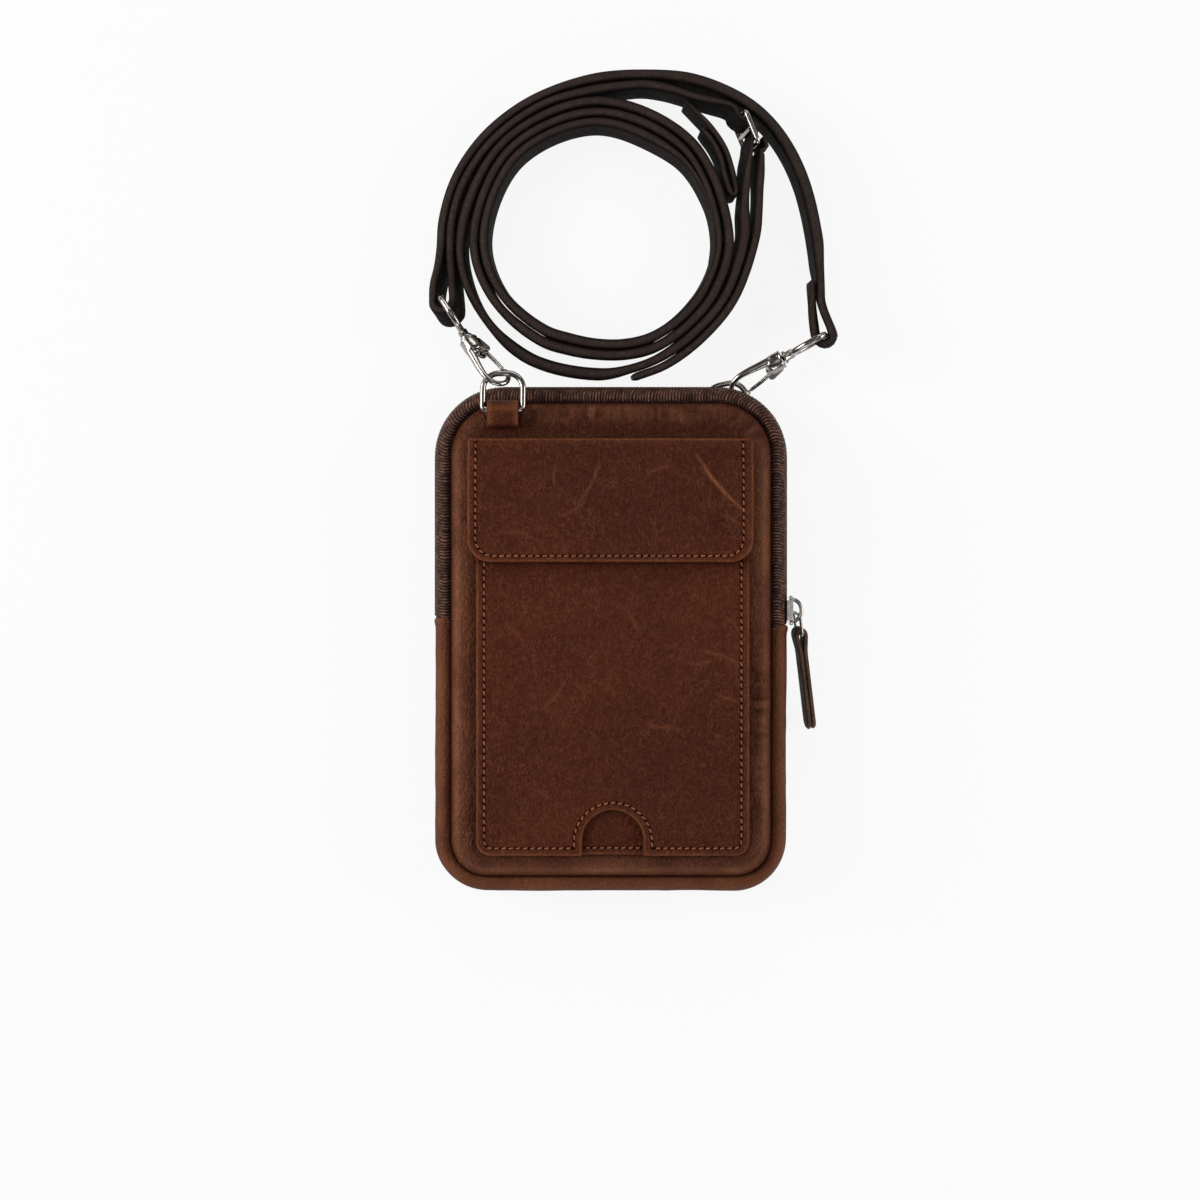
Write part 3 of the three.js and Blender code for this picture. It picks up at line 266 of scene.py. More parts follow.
def flipped_out(part):
    """Same closed part with its faces turned outwards."""
    v, polys = part
    volume = 0.0
    for p in polys:
        for k in range(1, p.shape[1] - 1):
            volume += np.sum(v[p[:, 0]] * np.cross(v[p[:, k]], v[p[:, k + 1]]))
    return (v, [p[:, ::-1] for p in polys]) if volume < 0 else part


def wire(points, radius, normal, sides=18, joined=False, flat=1.0):
    """Round bar along a line that lies square to normal; flat squeezes it along normal."""
    p = np.asarray(points, float)
    if joined:
        t = np.roll(p, -1, 0) - np.roll(p, 1, 0)
    else:
        t = np.vstack([p[1] - p[0], p[2:] - p[:-2], p[-1] - p[-2]]) if len(p) > 2 else np.tile(p[1] - p[0], (2, 1))
    t = unit(t)
    nrm = np.asarray(normal, float)
    u = unit(np.cross(nrm, t))
    r = np.broadcast_to(np.asarray(radius, float), (len(p),))
    a = np.linspace(0, 2 * np.pi, sides, endpoint=False)
    grid = (p[:, None] + (r[:, None] * np.cos(a))[..., None] * u[:, None]
            + (flat * r[:, None] * np.sin(a))[..., None] * nrm)
    return flipped_out(tube(grid, joined))


def lathe(profile, sides=40, closed=False):
    """Turned piece about the first axis: rows of (along, radius)."""
    pr = np.asarray(profile, float)
    a = np.linspace(0, 2 * np.pi, sides, endpoint=False)
    grid = np.stack([np.broadcast_to(pr[:, :1], (len(pr), sides)), pr[:, 1:] * np.cos(a), pr[:, 1:] * np.sin(a)], -1)
    return flipped_out(tube(grid, joined=closed))


def disc(x, y, r, z0, z1, sides=32, edge=0.15):
    """Short round bar along the third axis with softened rims."""
    v, polys = lathe([(z0, r - edge), (z0 + edge, r), (z1 - edge, r), (z1, r - edge)], sides)
    return flipped_out((np.stack([x + v[:, 1], y + v[:, 2], v[:, 0]], 1), polys))


def ball(centre, r, squash=(1, 1, 1)):
    t = np.linspace(0.03, np.pi - 0.03, 16)
    v, polys = lathe([(-math.cos(x), math.sin(x)) for x in t], 28)
    return v * np.asarray(squash, float) * r + np.asarray(centre, float), polys


def box_part(lo, hi):
    x = np.array([[lo[0], lo[1]], [hi[0], lo[1]], [hi[0], hi[1]], [lo[0], hi[1]]], float)
    grid = np.stack([np.column_stack([x, np.full(4, z)]) for z in np.linspace(lo[2], hi[2], 3)])
    return flipped_out(tube(grid))


def cast(name, parts, place, material, voxel=0.15, passes=8, swept=()):
    """One smooth metal casting: overlapping parts melted together, in the part's own axes, then put in place."""
    v, polys = merge(parts)
    me = bpy.data.meshes.new(name + "_raw")
    me.from_pydata(v.tolist(), [], [row for p in polys for row in p.tolist()])
    raw = bpy.data.objects.new(name + "_raw", me)
    scene.collection.objects.link(raw)
    r = raw.modifiers.new("melt", "REMESH")
    r.mode = "VOXEL"
    r.voxel_size = voxel
    s = raw.modifiers.new("polish", "SMOOTH")
    s.factor = 0.5
    s.iterations = passes
    dg = bpy.context.evaluated_depsgraph_get()
    done = bpy.data.meshes.new_from_object(raw.evaluated_get(dg))
    n = len(done.vertices)
    co = np.zeros(n * 3)
    done.vertices.foreach_get("co", co)
    quads = np.array([list(p.vertices) for p in done.polygons if len(p.vertices) == 4], np.int64).reshape(-1, 4)
    tris = np.array([list(p.vertices) for p in done.polygons if len(p.vertices) == 3], np.int64).reshape(-1, 3)
    bpy.data.objects.remove(raw)
    bpy.data.meshes.remove(me)
    bpy.data.meshes.remove(done)
    v, polys = merge([(co.reshape(-1, 3), [q for q in (quads, tris) if len(q)])] + list(swept))
    return placed(name, v, polys, place, material)


def placed(name, v, polys, place, material):
    origin, ax, ay, az = place
    return new_object(name, origin + v[:, :1] * ax + v[:, 1:2] * ay + v[:, 2:] * az, polys, material)


def frames(p, ups):
    t = unit(np.vstack([p[1] - p[0], p[2:] - p[:-2], p[-1] - p[-2]]))
    v = ups - np.sum(ups * t, 1, keepdims=True) * t
    v = unit(v)
    return t, np.cross(v, t), v


def round_section(a, b, r, arc=5, along=4, across=1):
    """Closed outline of a flat strip with rounded edges, half sizes a by b; the arrays may differ per station."""
    a, b, r = (np.asarray(q, float)[..., None] for q in (a, b, r))
    us, vs = [], []
    for sx, sy, start in ((1, 1, 0), (-1, 1, 90), (-1, -1, 180), (1, -1, 270)):
        t = rad(start + np.linspace(0, 90, arc))
        us.append(sx * (a - r) + r * np.cos(t))
        vs.append(sy * (b - r) + r * np.sin(t))
        if start in (90, 270):
            k = np.linspace(1, -1, along + 2)[1:-1] * sy
            us.append(np.broadcast_to(sx * a, a.shape[:-1] + (along,)) * np.ones(along))
            vs.append(k * (b - r))
    return np.concatenate(us, -1), np.concatenate(vs, -1)


def ribbon(line, ups, wall, width, edge=0.85, lift=None, ends=3):
    """Leather strip with burnished round edges along a line: verts, polys and where each point sits across it."""
    t, u, v = frames(line, ups)
    n = len(line)
    wall = np.broadcast_to(np.asarray(wall, float), (n,)).copy()
    width = np.broadcast_to(np.asarray(width, float), (n,)).copy()
    for k in range(ends):
        f = math.sqrt(1 - (1 - (k + 0.35) / ends) ** 2)
        wall[k] *= f
        wall[-1 - k] *= f
    us, vs = round_section(wall / 2, width / 2, edge * wall / 2)
    grid = line[:, None] + us[..., None] * u[:, None] + vs[..., None] * v[:, None]
    if lift is not None:
        grid[..., 2] += lift(grid) * (vs > 0)
    low = np.minimum(grid[..., 2].min(1), 0)
    grid[..., 2] -= low[:, None]
    verts, polys = tube(grid)
    side = np.concatenate([(vs / (width[:, None] / 2)).ravel(), [0, 0]])
    face = np.concatenate([(us / (wall[:, None] / 2)).ravel(), [0, 0]])
    return verts, polys, side, face


# ------------------------------------------------------------------ flat leather plates
def densify(poly, gap):
    out = []
    for p, q in zip(poly, np.roll(poly, -1, 0)):
        n = max(int(math.ceil(np.linalg.norm(q - p) / gap)), 1)
        out += [mix(p, q, k / n) for k in range(n)]
    return np.array(out)


def arc_points(cx, cy, r, start, end, n=10):
    t = rad(np.linspace(start, end, n + 1))
    return np.stack([cx + r * np.cos(t), cy + r * np.sin(t)], 1)


def distance_to(line, pts, closed=True):
    """Distance of points to a polyline."""
    a = line
    b = np.roll(line, -1, 0) if closed else line[1:]
    a = a if closed else a[:-1]
    d = b - a
    dd = np.maximum(np.sum(d * d, 1), 1e-12)
    out = np.empty(len(pts))
    for s in range(0, len(pts), 3000):
        q = pts[s:s + 3000, None] - a
        t = np.clip(np.sum(q * d, -1) / dd, 0, 1)
        out[s:s + 3000] = np.sqrt(np.sum((q - t[..., None] * d) ** 2, -1).min(1))
    return out


def inward(poly):
    t = unit(np.roll(poly, -1, 0) - np.roll(poly, 1, 0))
    return np.stack([-t[:, 1], t[:, 0]], 1)


def fill(outline, inner):
    pts = np.vstack([outline, inner]) if len(inner) else outline
    n = len(outline)
    vs, _, fs, ov, _, _ = delaunay_2d_cdt([Vector(p) for p in pts.tolist()], [], [list(range(n))], 1, 1e-7)
    where = {}
    for new, old in enumerate(ov):
        for k in old:
            where[k] = new
    return np.array([tuple(v) for v in vs]), np.array([list(f) for f in fs], np.int64), np.array([where[k] for k in range(n)])


def plate(outline, top, bottom, spacing, extra, edge=0.55, gap=0.7):
    """Leather cut to an outline. top and bottom give the heights, edge is the roundness of its cut edge.
    Returns points, polygons, each point's distance from the cut edge, and 1 on the wall of the cut."""
    b = densify(outline, gap)
    nrm = inward(b)
    rings = [b + nrm * d for d in (0.1, 0.26, 0.5, 0.85, 1.3)]
    lo, hi = b.min(0), b.max(0)
    xs, ys = np.arange(lo[0], hi[0], spacing), np.arange(lo[1], hi[1], spacing * 0.87)
    gx, gy = np.meshgrid(xs, ys)
    gx = gx + (np.arange(len(ys)) % 2)[:, None] * spacing / 2
    grid = np.stack([gx.ravel(), gy.ravel()], 1)
    inner = []
    for d, r in zip((0.1, 0.26, 0.5, 0.85, 1.3), rings):
        inner.append(r[(distance_to(b, r) > 0.93 * d) & inside(b, r)])
    grid = grid[inside(b, grid)]
    inner.append(grid[distance_to(b, grid) > 1.6])
    if len(extra):
        extra = extra[inside(b, extra)]
        inner.append(extra[distance_to(b, extra) > 0.15])
    v2, tri, rim = fill(b, np.vstack(inner))
    d = distance_to(b, v2)
    d[rim] = 0
    e = np.clip(d / edge, 0, 1)
    z = top(v2[:, 0], v2[:, 1]) - edge * (1 - np.sqrt(np.maximum(1 - (1 - e) ** 2, 0)))
    upper = np.column_stack([v2, z])
    coarse = grid[::3]
    c2, ctri, crim = fill(b, coarse[distance_to(b, coarse) > 1.5])
    under = np.column_stack([c2, bottom(c2[:, 0], c2[:, 1])])
    nt, nb = len(upper), len(under)
    rz_top, rz_bot = upper[rim, 2], under[crim, 2]
    out = -nrm
    walls = []
    for k, (f, bulge) in enumerate(((0.25, 0.1), (0.5, 0.14), (0.75, 0.1))):
        p = np.column_stack([b + out * bulge, mix(rz_top, rz_bot, f)])
        walls.append(p)
    verts = np.vstack([upper, under, *walls])
    n = len(b)
    loops = [rim] + [nt + nb + k * n + np.arange(n) for k in range(len(walls))] + [nt + crim]
    polys = [tri, ctri[:, ::-1] + nt]
    for p, q in zip(loops, loops[1:]):
        polys.append(np.stack([p, q, np.roll(q, -1), np.roll(p, -1)], -1))
    dist = np.concatenate([d, np.full(nb, 9.0), np.zeros(n * len(walls))])
    wall = np.concatenate([np.zeros(nt + nb), np.ones(n * len(walls))])
    return verts, polys, dist, wall


def inside(poly, pts):
    x, y = pts[:, 0], pts[:, 1]
    odd = np.zeros(len(pts), bool)
    for (x0, y0), (x1, y1) in zip(poly, np.roll(poly, -1, 0)):
        if y0 != y1:
            cross = (y0 > y) != (y1 > y)
            odd ^= cross & (x < (x1 - x0) * (y - y0) / (y1 - y0) + x0)
    return odd


# ------------------------------------------------------------------ stitching
STITCH = dict(pitch=2.5, length=1.7, r=0.27)


def stitch_places(line):
    """Middle and heading of each stitch, and the needle holes between them."""
    s = lengths(line)
    n = int(s[-1] / STITCH["pitch"])
    at = (np.arange(n) + 0.5) * s[-1] / n
    at_hole = np.arange(n + 1) * s[-1] / n
    get = lambda q: np.stack([np.interp(q, s, line[:, k]) for k in range(2)], 1)
    c = get(at)
    t = unit(get(np.minimum(at + 0.4, s[-1])) - get(np.maximum(at - 0.4, 0)))
    return c, t, get(at_hole)


def stitches(line, height, slant=0.14):
    """Thread of each stitch, a short bead that dives into the leather at both ends."""
    c, t, _ = stitch_places(line)
    side = np.stack([-t[:, 1], t[:, 0]], 1)
    q = np.linspace(-1, 1, 9)
    a = np.linspace(0, 2 * np.pi, 10, endpoint=False)
    half, r = STITCH["length"] / 2, STITCH["r"]
    z0 = height(c[:, 0], c[:, 1])
    wobble = noise2(c[:, 0], c[:, 1], 1.7, 71) * 0.12
    mid = c[:, None] + t[:, None] * (q * half)[None, :, None] + side[:, None] * ((slant + wobble[:, None]) * q)[..., None]
    zc = z0[:, None] + 0.1 - 0.42 * q ** 2
    rr = r * np.sqrt(1 - (0.93 * q) ** 2)
    grid = np.empty((len(c), 9, 10, 3))
    grid[..., :2] = mid[:, :, None] + side[:, None, None] * (rr[:, None] * np.cos(a))[None, :, :, None]
    grid[..., 2] = zc[:, :, None] + (rr[:, None] * np.sin(a))[None] * 0.85
    return merge([flipped_out(tube(g)) for g in grid])


def seat_points(line):
    """Extra mesh points along a stitch line, so that its groove and needle holes have shape."""
    p = resample(line, 0.45)
    t = unit(np.vstack([p[1] - p[0], p[2:] - p[:-2], p[-1] - p[-2]]))
    side = np.stack([-t[:, 1], t[:, 0]], 1)
    out = [p + side * o for o in (-0.75, -0.45, -0.2, 0.2, 0.45, 0.75)]
    holes = stitch_places(line)[2]
    ang = rad(np.arange(0, 360, 60))
    for r in (0.01, 0.22, 0.42):
        out.append((holes[:, None] + r * np.stack([np.cos(ang + r), np.sin(ang + r)], 1)).reshape(-1, 2) if r > 0.1 else holes)
    return np.vstack(out)


def seat(x, y, lines):
    """How deep a stitch line sits, and the painted shade in its needle holes and along its groove."""
    pts = np.stack([x, y], 1)
    depth, dark = np.zeros(len(x)), np.zeros(len(x))
    for line in lines:
        near = distance_to(line, pts, False)
        depth += 0.24 * np.exp(-(near / 0.5) ** 2)
        close = near < 1.2
        holes = stitch_places(line)[2]
        if close.any():
            q = pts[close]
            hd = np.sqrt(((q[:, None] - holes) ** 2).sum(-1)).min(1)
            depth[close] += 0.4 * np.exp(-(hd / 0.3) ** 2)
            # painted shade in the needle holes and along the groove
            dark[close] += 1.0 * np.exp(-(hd / 0.42) ** 2) + 0.28 * np.exp(-(near[close] / 0.5) ** 2)
    return depth, np.clip(dark, 0, 1)


# Soft creases in the leather: from, to (mm), sideways bow, half width, depth, how pale it is.
FLAP_CREASES = [
    ((29.5, 66.5), (47.5, 44.5), -1.2, 0.55, 0.16, 0.8),
    ((31.5, 60.5), (40.5, 49.0), 0.8, 0.5, 0.1, 0.35),
    ((-4.0, 64.0), (-12.5, 47.0), 1.6, 0.7, 0.1, 0.28),
    ((-9.0, 49.0), (-17.0, 43.5), 0.8, 0.7, 0.1, 0.25),
    ((-18.0, 66.0), (-19.5, 53.0), -1.2, 0.7, 0.08, 0.2),
    ((12.0, 58.0), (22.5, 61.0), 1.0, 0.7, 0.08, 0.22),
    ((38.0, 44.0), (46.5, 39.0), 0.8, 0.5, 0.1, 0.3),
    ((-40.0, 38.0), (-26.0, 35.0), 1.0, 0.8, 0.08, 0.2),
]
POCKET_CREASES = [
    ((30.5, -4.0), (45.0, -8.5), 1.2, 0.6, 0.13, 0.4),
    ((25.0, -7.5), (37.0, -6.5), -1.4, 0.6, 0.1, 0.28),
    ((36.0, -19.5), (45.5, -22.5), 0.6, 0.5, 0.12, 0.4),
    ((12.0, -31.0), (25.0, -32.5), 1.2, 0.8, 0.09, 0.22),
    ((-16.0, -14.0), (-26.0, -25.0), 1.4, 0.8, 0.09, 0.22),
    ((3.0, 12.0), (10.0, 0.5), 1.4, 0.7, 0.08, 0.22),
    ((-38.0, 6.0), (-30.0, -3.0), 1.0, 0.7, 0.08, 0.22),
    ((-30.0, -52.0), (-22.0, -56.0), 0.8, 0.7, 0.07, 0.18),
    ((40.0, 8.0), (45.5, 2.0), 0.6, 0.5, 0.08, 0.25),
]


def creases(x, y, table):
    pts = np.stack([x, y], 1)
    lift, pale = np.zeros(len(x)), np.zeros(len(x))
    for p, q, bow, half, depth, light in table:
        p, q = arr(*p), arr(*q)
        s = np.linspace(0, 1, 24)[:, None]
        d = unit(q - p)
        n = arr(-d[1], d[0])
        wave = noise2(s[:, 0] * 40 + p[0], s[:, 0] * 7 + p[1], 6.0, 31)[:, None]
        line = mix(p, q, s) + n * (bow * 4 * s * (1 - s) + 0.5 * wave)
        box = (np.abs(pts - (p + q) / 2) < np.abs(q - p) / 2 + 4).all(1)
        if not box.any():
            continue
        near = distance_to(line, pts[box], False)
        along = np.clip(((pts[box] - p) @ d) / np.linalg.norm(q - p), 0, 1)
        fade = np.sqrt(np.maximum(np.sin(np.pi * along), 0)) * (0.75 + 0.25 * noise2(*pts[box].T, 2.5, 32))
        lift[box] += depth * fade * (np.exp(-(near / half) ** 2) - 0.7 * np.exp(-((near - 2 * half) / half) ** 2))
        pale[box] += light * fade * np.exp(-(near / (0.75 * half)) ** 2)
    return lift, pale


# ------------------------------------------------------------------ materials
def srgb(r, g, b):
    return tuple(((c / 255 + 0.055) / 1.055) ** 2.4 if c > 10 else c / 255 / 12.92 for c in (r, g, b)) + (1.0,)


def shader(name):
    m = bpy.data.materials.new(name)
    m.use_nodes = True
    nt = m.node_tree
    return m, nt, nt.nodes["Principled BSDF"]


def tex_noise(nt, co, scale, detail=3.0, rough=0.55, distort=0.0):
    n = nt.nodes.new("ShaderNodeTexNoise")
    n.inputs["Scale"].default_value = scale
    n.inputs["Detail"].default_value = detail
    n.inputs["Roughness"].default_value = rough
    n.inputs["Distortion"].default_value = distort
    nt.links.new(co, n.inputs["Vector"])
    return n


def tex_cells(nt, co, scale, feature="DISTANCE_TO_EDGE"):
    n = nt.nodes.new("ShaderNodeTexVoronoi")
    n.feature = feature
    n.inputs["Scale"].default_value = scale
    nt.links.new(co, n.inputs["Vector"])
    return n.outputs["Distance"]


def ranged(nt, value, a, b, c, d):
    n = nt.nodes.new("ShaderNodeMapRange")
    for key, x in zip(("From Min", "From Max", "To Min", "To Max"), (a, b, c, d)):
        n.inputs[key].default_value = x
    nt.links.new(value, n.inputs["Value"])
    return n.outputs["Result"]


def maths(nt, op, a, b):
    n = nt.nodes.new("ShaderNodeMath")
    n.operation = op
    for k, x in enumerate((a, b)):
        if isinstance(x, (int, float)):
            n.inputs[k].default_value = x
        else:
            nt.links.new(x, n.inputs[k])
    return n.outputs[0]


def mixed(nt, factor, a, b, blend="MIX"):
    n = nt.nodes.new("ShaderNodeMix")
    n.data_type = "RGBA"
    n.blend_type = blend
    for key, x in (("Factor_Float", factor), ("A_Color", a), ("B_Color", b)):
        s = next(i for i in n.inputs if i.identifier == key)
        if isinstance(x, (int, float, tuple)):
            s.default_value = x
        else:
            nt.links.new(x, s)
    return next(o for o in n.outputs if o.identifier == "Result_Color")


def attribute(nt, key):
    n = nt.nodes.new("ShaderNodeAttribute")
    n.attribute_name = key
    return n.outputs["Fac"]


def leather(name, base, deep, worn_and_highlight_tone, rough=(0.44, 0.6), bump=0.9, grain=620.0, crackle=0.34, specular=0.07, mottle=1.0):
    """Waxed pull-up leather: pebbled and crackled grain, paler where it is bent or rubbed and where a highlight is
    painted (attribute wear_and_highlight), and darkened by painted shade in seams, grooves and under parts (attribute
    dark)."""
    m, nt, bsdf = shader(name)
    co = nt.nodes.new("ShaderNodeTexCoord").outputs["Object"]
    warp = tex_noise(nt, co, 260.0, 2.0)
    push = nt.nodes.new("ShaderNodeVectorMath")
    push.operation = "MULTIPLY_ADD"
    nt.links.new(warp.outputs["Color"], push.inputs[0])
    push.inputs[1].default_value = (0.004, 0.004, 0.004)
    nt.links.new(co, push.inputs[2])
    bent = push.outputs[0]
    turn = nt.nodes.new("ShaderNodeMapping")
    turn.inputs["Rotation"].default_value = (0.0, 0.0, 0.65)
    turn.inputs["Scale"].default_value = (1.0, 0.55, 1.0)
    nt.links.new(bent, turn.inputs["Vector"])
    drawn = turn.outputs["Vector"]
    turn = nt.nodes.new("ShaderNodeMapping")
    turn.inputs["Rotation"].default_value = (0.0, 0.0, -0.85)
    turn.inputs["Scale"].default_value = (1.0, 0.5, 1.0)
    nt.links.new(bent, turn.inputs["Vector"])
    crossed = turn.outputs["Vector"]
    cloud = tex_noise(nt, co, 14.0, 2.0, 0.5).outputs["Fac"]
    blotch = tex_noise(nt, bent, 150.0, 5.0, 0.66).outputs["Fac"]
    speck = tex_noise(nt, drawn, 700.0, 4.0, 0.68, 0.8).outputs["Fac"]
    way = ranged(nt, tex_noise(nt, co, 40.0, 2.0).outputs["Fac"], 0.44, 0.56, 0.0, 1.0)
    hair = []
    for where, scale, share in ((drawn, 430.0, way), (crossed, 400.0, maths(nt, "SUBTRACT", 1.0, way))):
        off = maths(nt, "ABSOLUTE", maths(nt, "SUBTRACT", tex_noise(nt, where, scale, 2.0, 0.55, 0.35).outputs["Fac"], 0.5), 0.0)
        hair.append(maths(nt, "MULTIPLY", ranged(nt, off, 0.0, 0.045, 1.0, 0.0), share))
    hair = maths(nt, "MAXIMUM", *hair)
    pebble = tex_cells(nt, drawn, grain)
    small = tex_cells(nt, bent, grain * 1.6)
    patch = ranged(nt, tex_noise(nt, co, 75.0, 3.0, 0.6).outputs["Fac"], 0.38, 0.66, 0.45, 0.85)
    plain = ranged(nt, tex_noise(nt, co, 48.0, 3.0, 0.6).outputs["Fac"], 0.35, 0.65, 0.6, 0.95)
    col = mixed(nt, ranged(nt, cloud, 0.36, 0.64, 0.0, 0.9 * mottle), base, deep)
    col = mixed(nt, ranged(nt, blotch, 0.56, 0.8, 0.0, 0.05 * mottle), col, worn_and_highlight_tone)
    col = mixed(nt, ranged(nt, speck, 0.54, 0.7, 0.0, 0.12), col, worn_and_highlight_tone)
    col = mixed(nt, ranged(nt, speck, 0.46, 0.3, 0.0, 0.2), col, tuple(c * 0.5 for c in deep[:3]) + (1.0,))
    col = mixed(nt, maths(nt, "MULTIPLY", ranged(nt, pebble, 0.0, 0.13, 0.8, 0.0), plain), col, tuple(c * 0.45 for c in deep[:3]) + (1.0,))
    col = mixed(nt, maths(nt, "MULTIPLY", ranged(nt, small, 0.0, 0.1, 0.7 * crackle, 0.0), patch), col, worn_and_highlight_tone)
    col = mixed(nt, maths(nt, "MULTIPLY", maths(nt, "MULTIPLY", hair, patch), crackle), col, worn_and_highlight_tone)
    # pale tone where attribute wear_and_highlight is set: real rubbing and bending, and painted highlights
    col = mixed(nt, attribute(nt, "wear_and_highlight"), col, worn_and_highlight_tone)
    # painted shade: near black where attribute dark is set
    dark = attribute(nt, "dark")
    col = mixed(nt, maths(nt, "MULTIPLY", dark, 0.9), col, tuple(c * 0.16 for c in deep[:3]) + (1.0,))
    nt.links.new(col, bsdf.inputs["Base Color"])
    nt.links.new(maths(nt, "ADD", ranged(nt, blotch, 0.3, 0.75, rough[0], rough[1]), maths(nt, "MULTIPLY", dark, 0.45)),
                 bsdf.inputs["Roughness"])
    nt.links.new(ranged(nt, dark, 0.0, 0.9, specular, 0.0), bsdf.inputs["Specular IOR Level"])
    height = maths(nt, "ADD", maths(nt, "MULTIPLY", ranged(nt, pebble, 0.0, 0.25, 0.0, 1.0), 0.9),
                   maths(nt, "MULTIPLY", ranged(nt, small, 0.0, 0.2, 0.0, 1.0), 0.3))
    height = maths(nt, "ADD", height, maths(nt, "MULTIPLY", maths(nt, "MULTIPLY", hair, patch), 0.8))
    height = maths(nt, "ADD", height, maths(nt, "MULTIPLY", speck, 1.4))
    height = maths(nt, "ADD", height, maths(nt, "MULTIPLY", blotch, 0.8))
    b = nt.nodes.new("ShaderNodeBump")
    b.inputs["Strength"].default_value = bump
    b.inputs["Distance"].default_value = 0.00045
    nt.links.new(height, b.inputs["Height"])
    nt.links.new(b.outputs["Normal"], bsdf.inputs["Normal"])
    return m


def tape_cloth(name, base, deep, worn_and_highlight_tone):
    """Ribbed zip tape: dark woven cloth, paler where attribute wear_and_highlight is set (a painted highlight on the
    tape's ribs, random paler teeth) and darkened by painted shade where attribute dark is set.
    """
    m, nt, bsdf = shader(name)
    co = nt.nodes.new("ShaderNodeTexCoord").outputs["Object"]
    fine = tex_noise(nt, co, 1900.0, 3.0, 0.6).outputs["Fac"]
    cloud = tex_noise(nt, co, 160.0, 3.0, 0.6).outputs["Fac"]
    col = mixed(nt, ranged(nt, cloud, 0.35, 0.7, 0.0, 1.0), base, deep)
    col = mixed(nt, maths(nt, "MULTIPLY", attribute(nt, "wear_and_highlight"), ranged(nt, fine, 0.35, 0.65, 0.2, 1.0)), col, worn_and_highlight_tone)
    # painted shade where attribute dark is set
    col = mixed(nt, attribute(nt, "dark"), col, tuple(c * 0.25 for c in deep[:3]) + (1.0,))
    nt.links.new(col, bsdf.inputs["Base Color"])
    bsdf.inputs["Roughness"].default_value = 0.7
    bsdf.inputs["Specular IOR Level"].default_value = 0.12
    b = nt.nodes.new("ShaderNodeBump")
    b.inputs["Strength"].default_value = 0.5
    b.inputs["Distance"].default_value = 0.0002
    nt.links.new(fine, b.inputs["Height"])
    nt.links.new(b.outputs["Normal"], bsdf.inputs["Normal"])
    return m


def thread(name, base, deep):
    m, nt, bsdf = shader(name)
    co = nt.nodes.new("ShaderNodeTexCoord").outputs["Object"]
    fine = tex_noise(nt, co, 2600.0, 2.0, 0.6).outputs["Fac"]
    cloud = tex_noise(nt, co, 260.0, 2.0, 0.6).outputs["Fac"]
    nt.links.new(mixed(nt, ranged(nt, cloud, 0.3, 0.7, 0.0, 1.0), base, deep), bsdf.inputs["Base Color"])
    bsdf.inputs["Roughness"].default_value = 0.6
    b = nt.nodes.new("ShaderNodeBump")
    b.inputs["Strength"].default_value = 0.6
    b.inputs["Distance"].default_value = 0.0001
    nt.links.new(fine, b.inputs["Height"])
    nt.links.new(b.outputs["Normal"], bsdf.inputs["Normal"])
    return m


def nickel(name, base, shade, rough=(0.17, 0.25)):
    """Dark polished nickel with faint handling marks."""
    m, nt, bsdf = shader(name)
    co = nt.nodes.new("ShaderNodeTexCoord").outputs["Object"]
    cloud = tex_noise(nt, co, 240.0, 3.0, 0.6).outputs["Fac"]
    fine = tex_noise(nt, co, 1500.0, 3.0, 0.6).outputs["Fac"]
    nt.links.new(mixed(nt, ranged(nt, cloud, 0.35, 0.7, 0.0, 1.0), base, shade), bsdf.inputs["Base Color"])
    nt.links.new(ranged(nt, fine, 0.3, 0.75, rough[0], rough[1]), bsdf.inputs["Roughness"])
    bsdf.inputs["Metallic"].default_value = 1.0
    b = nt.nodes.new("ShaderNodeBump")
    b.inputs["Strength"].default_value = 0.02
    b.inputs["Distance"].default_value = 0.0001
    nt.links.new(fine, b.inputs["Height"])
    nt.links.new(b.outputs["Normal"], bsdf.inputs["Normal"])
    return m


# Third colour of each: the pale rubbed tone, also used for painted highlights.
POCKET_LEATHER = leather("pocket_leather", srgb(80, 34, 16), srgb(64, 25, 11), srgb(138, 82, 52))
PANEL_LEATHER = leather("panel_leather", srgb(81, 39, 23), srgb(68, 31, 17), srgb(138, 88, 62), grain=640.0)
GUSSET_LEATHER = leather("gusset_leather_finish", srgb(88, 46, 28), srgb(72, 35, 20), srgb(134, 82, 54), bump=0.5, grain=760.0)
STRAP_LEATHER = leather("strap_leather", srgb(27, 18, 15), srgb(18, 12, 10), srgb(70, 54, 48), rough=(0.4, 0.52),
                        bump=0.45, grain=760.0, crackle=0.12, specular=0.13, mottle=0.7)
PULL_LEATHER = leather("pull_leather", srgb(56, 37, 28), srgb(38, 25, 19), srgb(112, 80, 60), bump=0.45, grain=760.0, specular=0.2)
TAPE_CLOTH = tape_cloth("zip_tape_cloth", srgb(54, 30, 23), srgb(40, 22, 17), srgb(158, 112, 94))
TEETH = tape_cloth("zip_teeth_nylon", srgb(50, 34, 30), srgb(36, 25, 23), srgb(100, 76, 66))
THREAD = thread("stitch_thread", srgb(152, 92, 57), srgb(118, 67, 40))
NICKEL = nickel("dark_nickel", srgb(168, 163, 157), srgb(130, 125, 120))


def finish_piece(obj, body, slot, *nodes):
    if nodes:
        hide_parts(*nodes)
    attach(obj, body)
    return obj


# ------------------------------------------------------------------ camera and light
cam_data = bpy.data.cameras.new("camera")
cam_data.sensor_width = 36.0
cam_data.lens = 74.42
cam_data.clip_start = 0.01
cam = bpy.data.objects.new("camera", cam_data)
cam.location = (-0.0039, 0.0140, 0.900)
scene.collection.objects.link(cam)
scene.camera = cam
scene.view_settings.view_transform = "Standard"


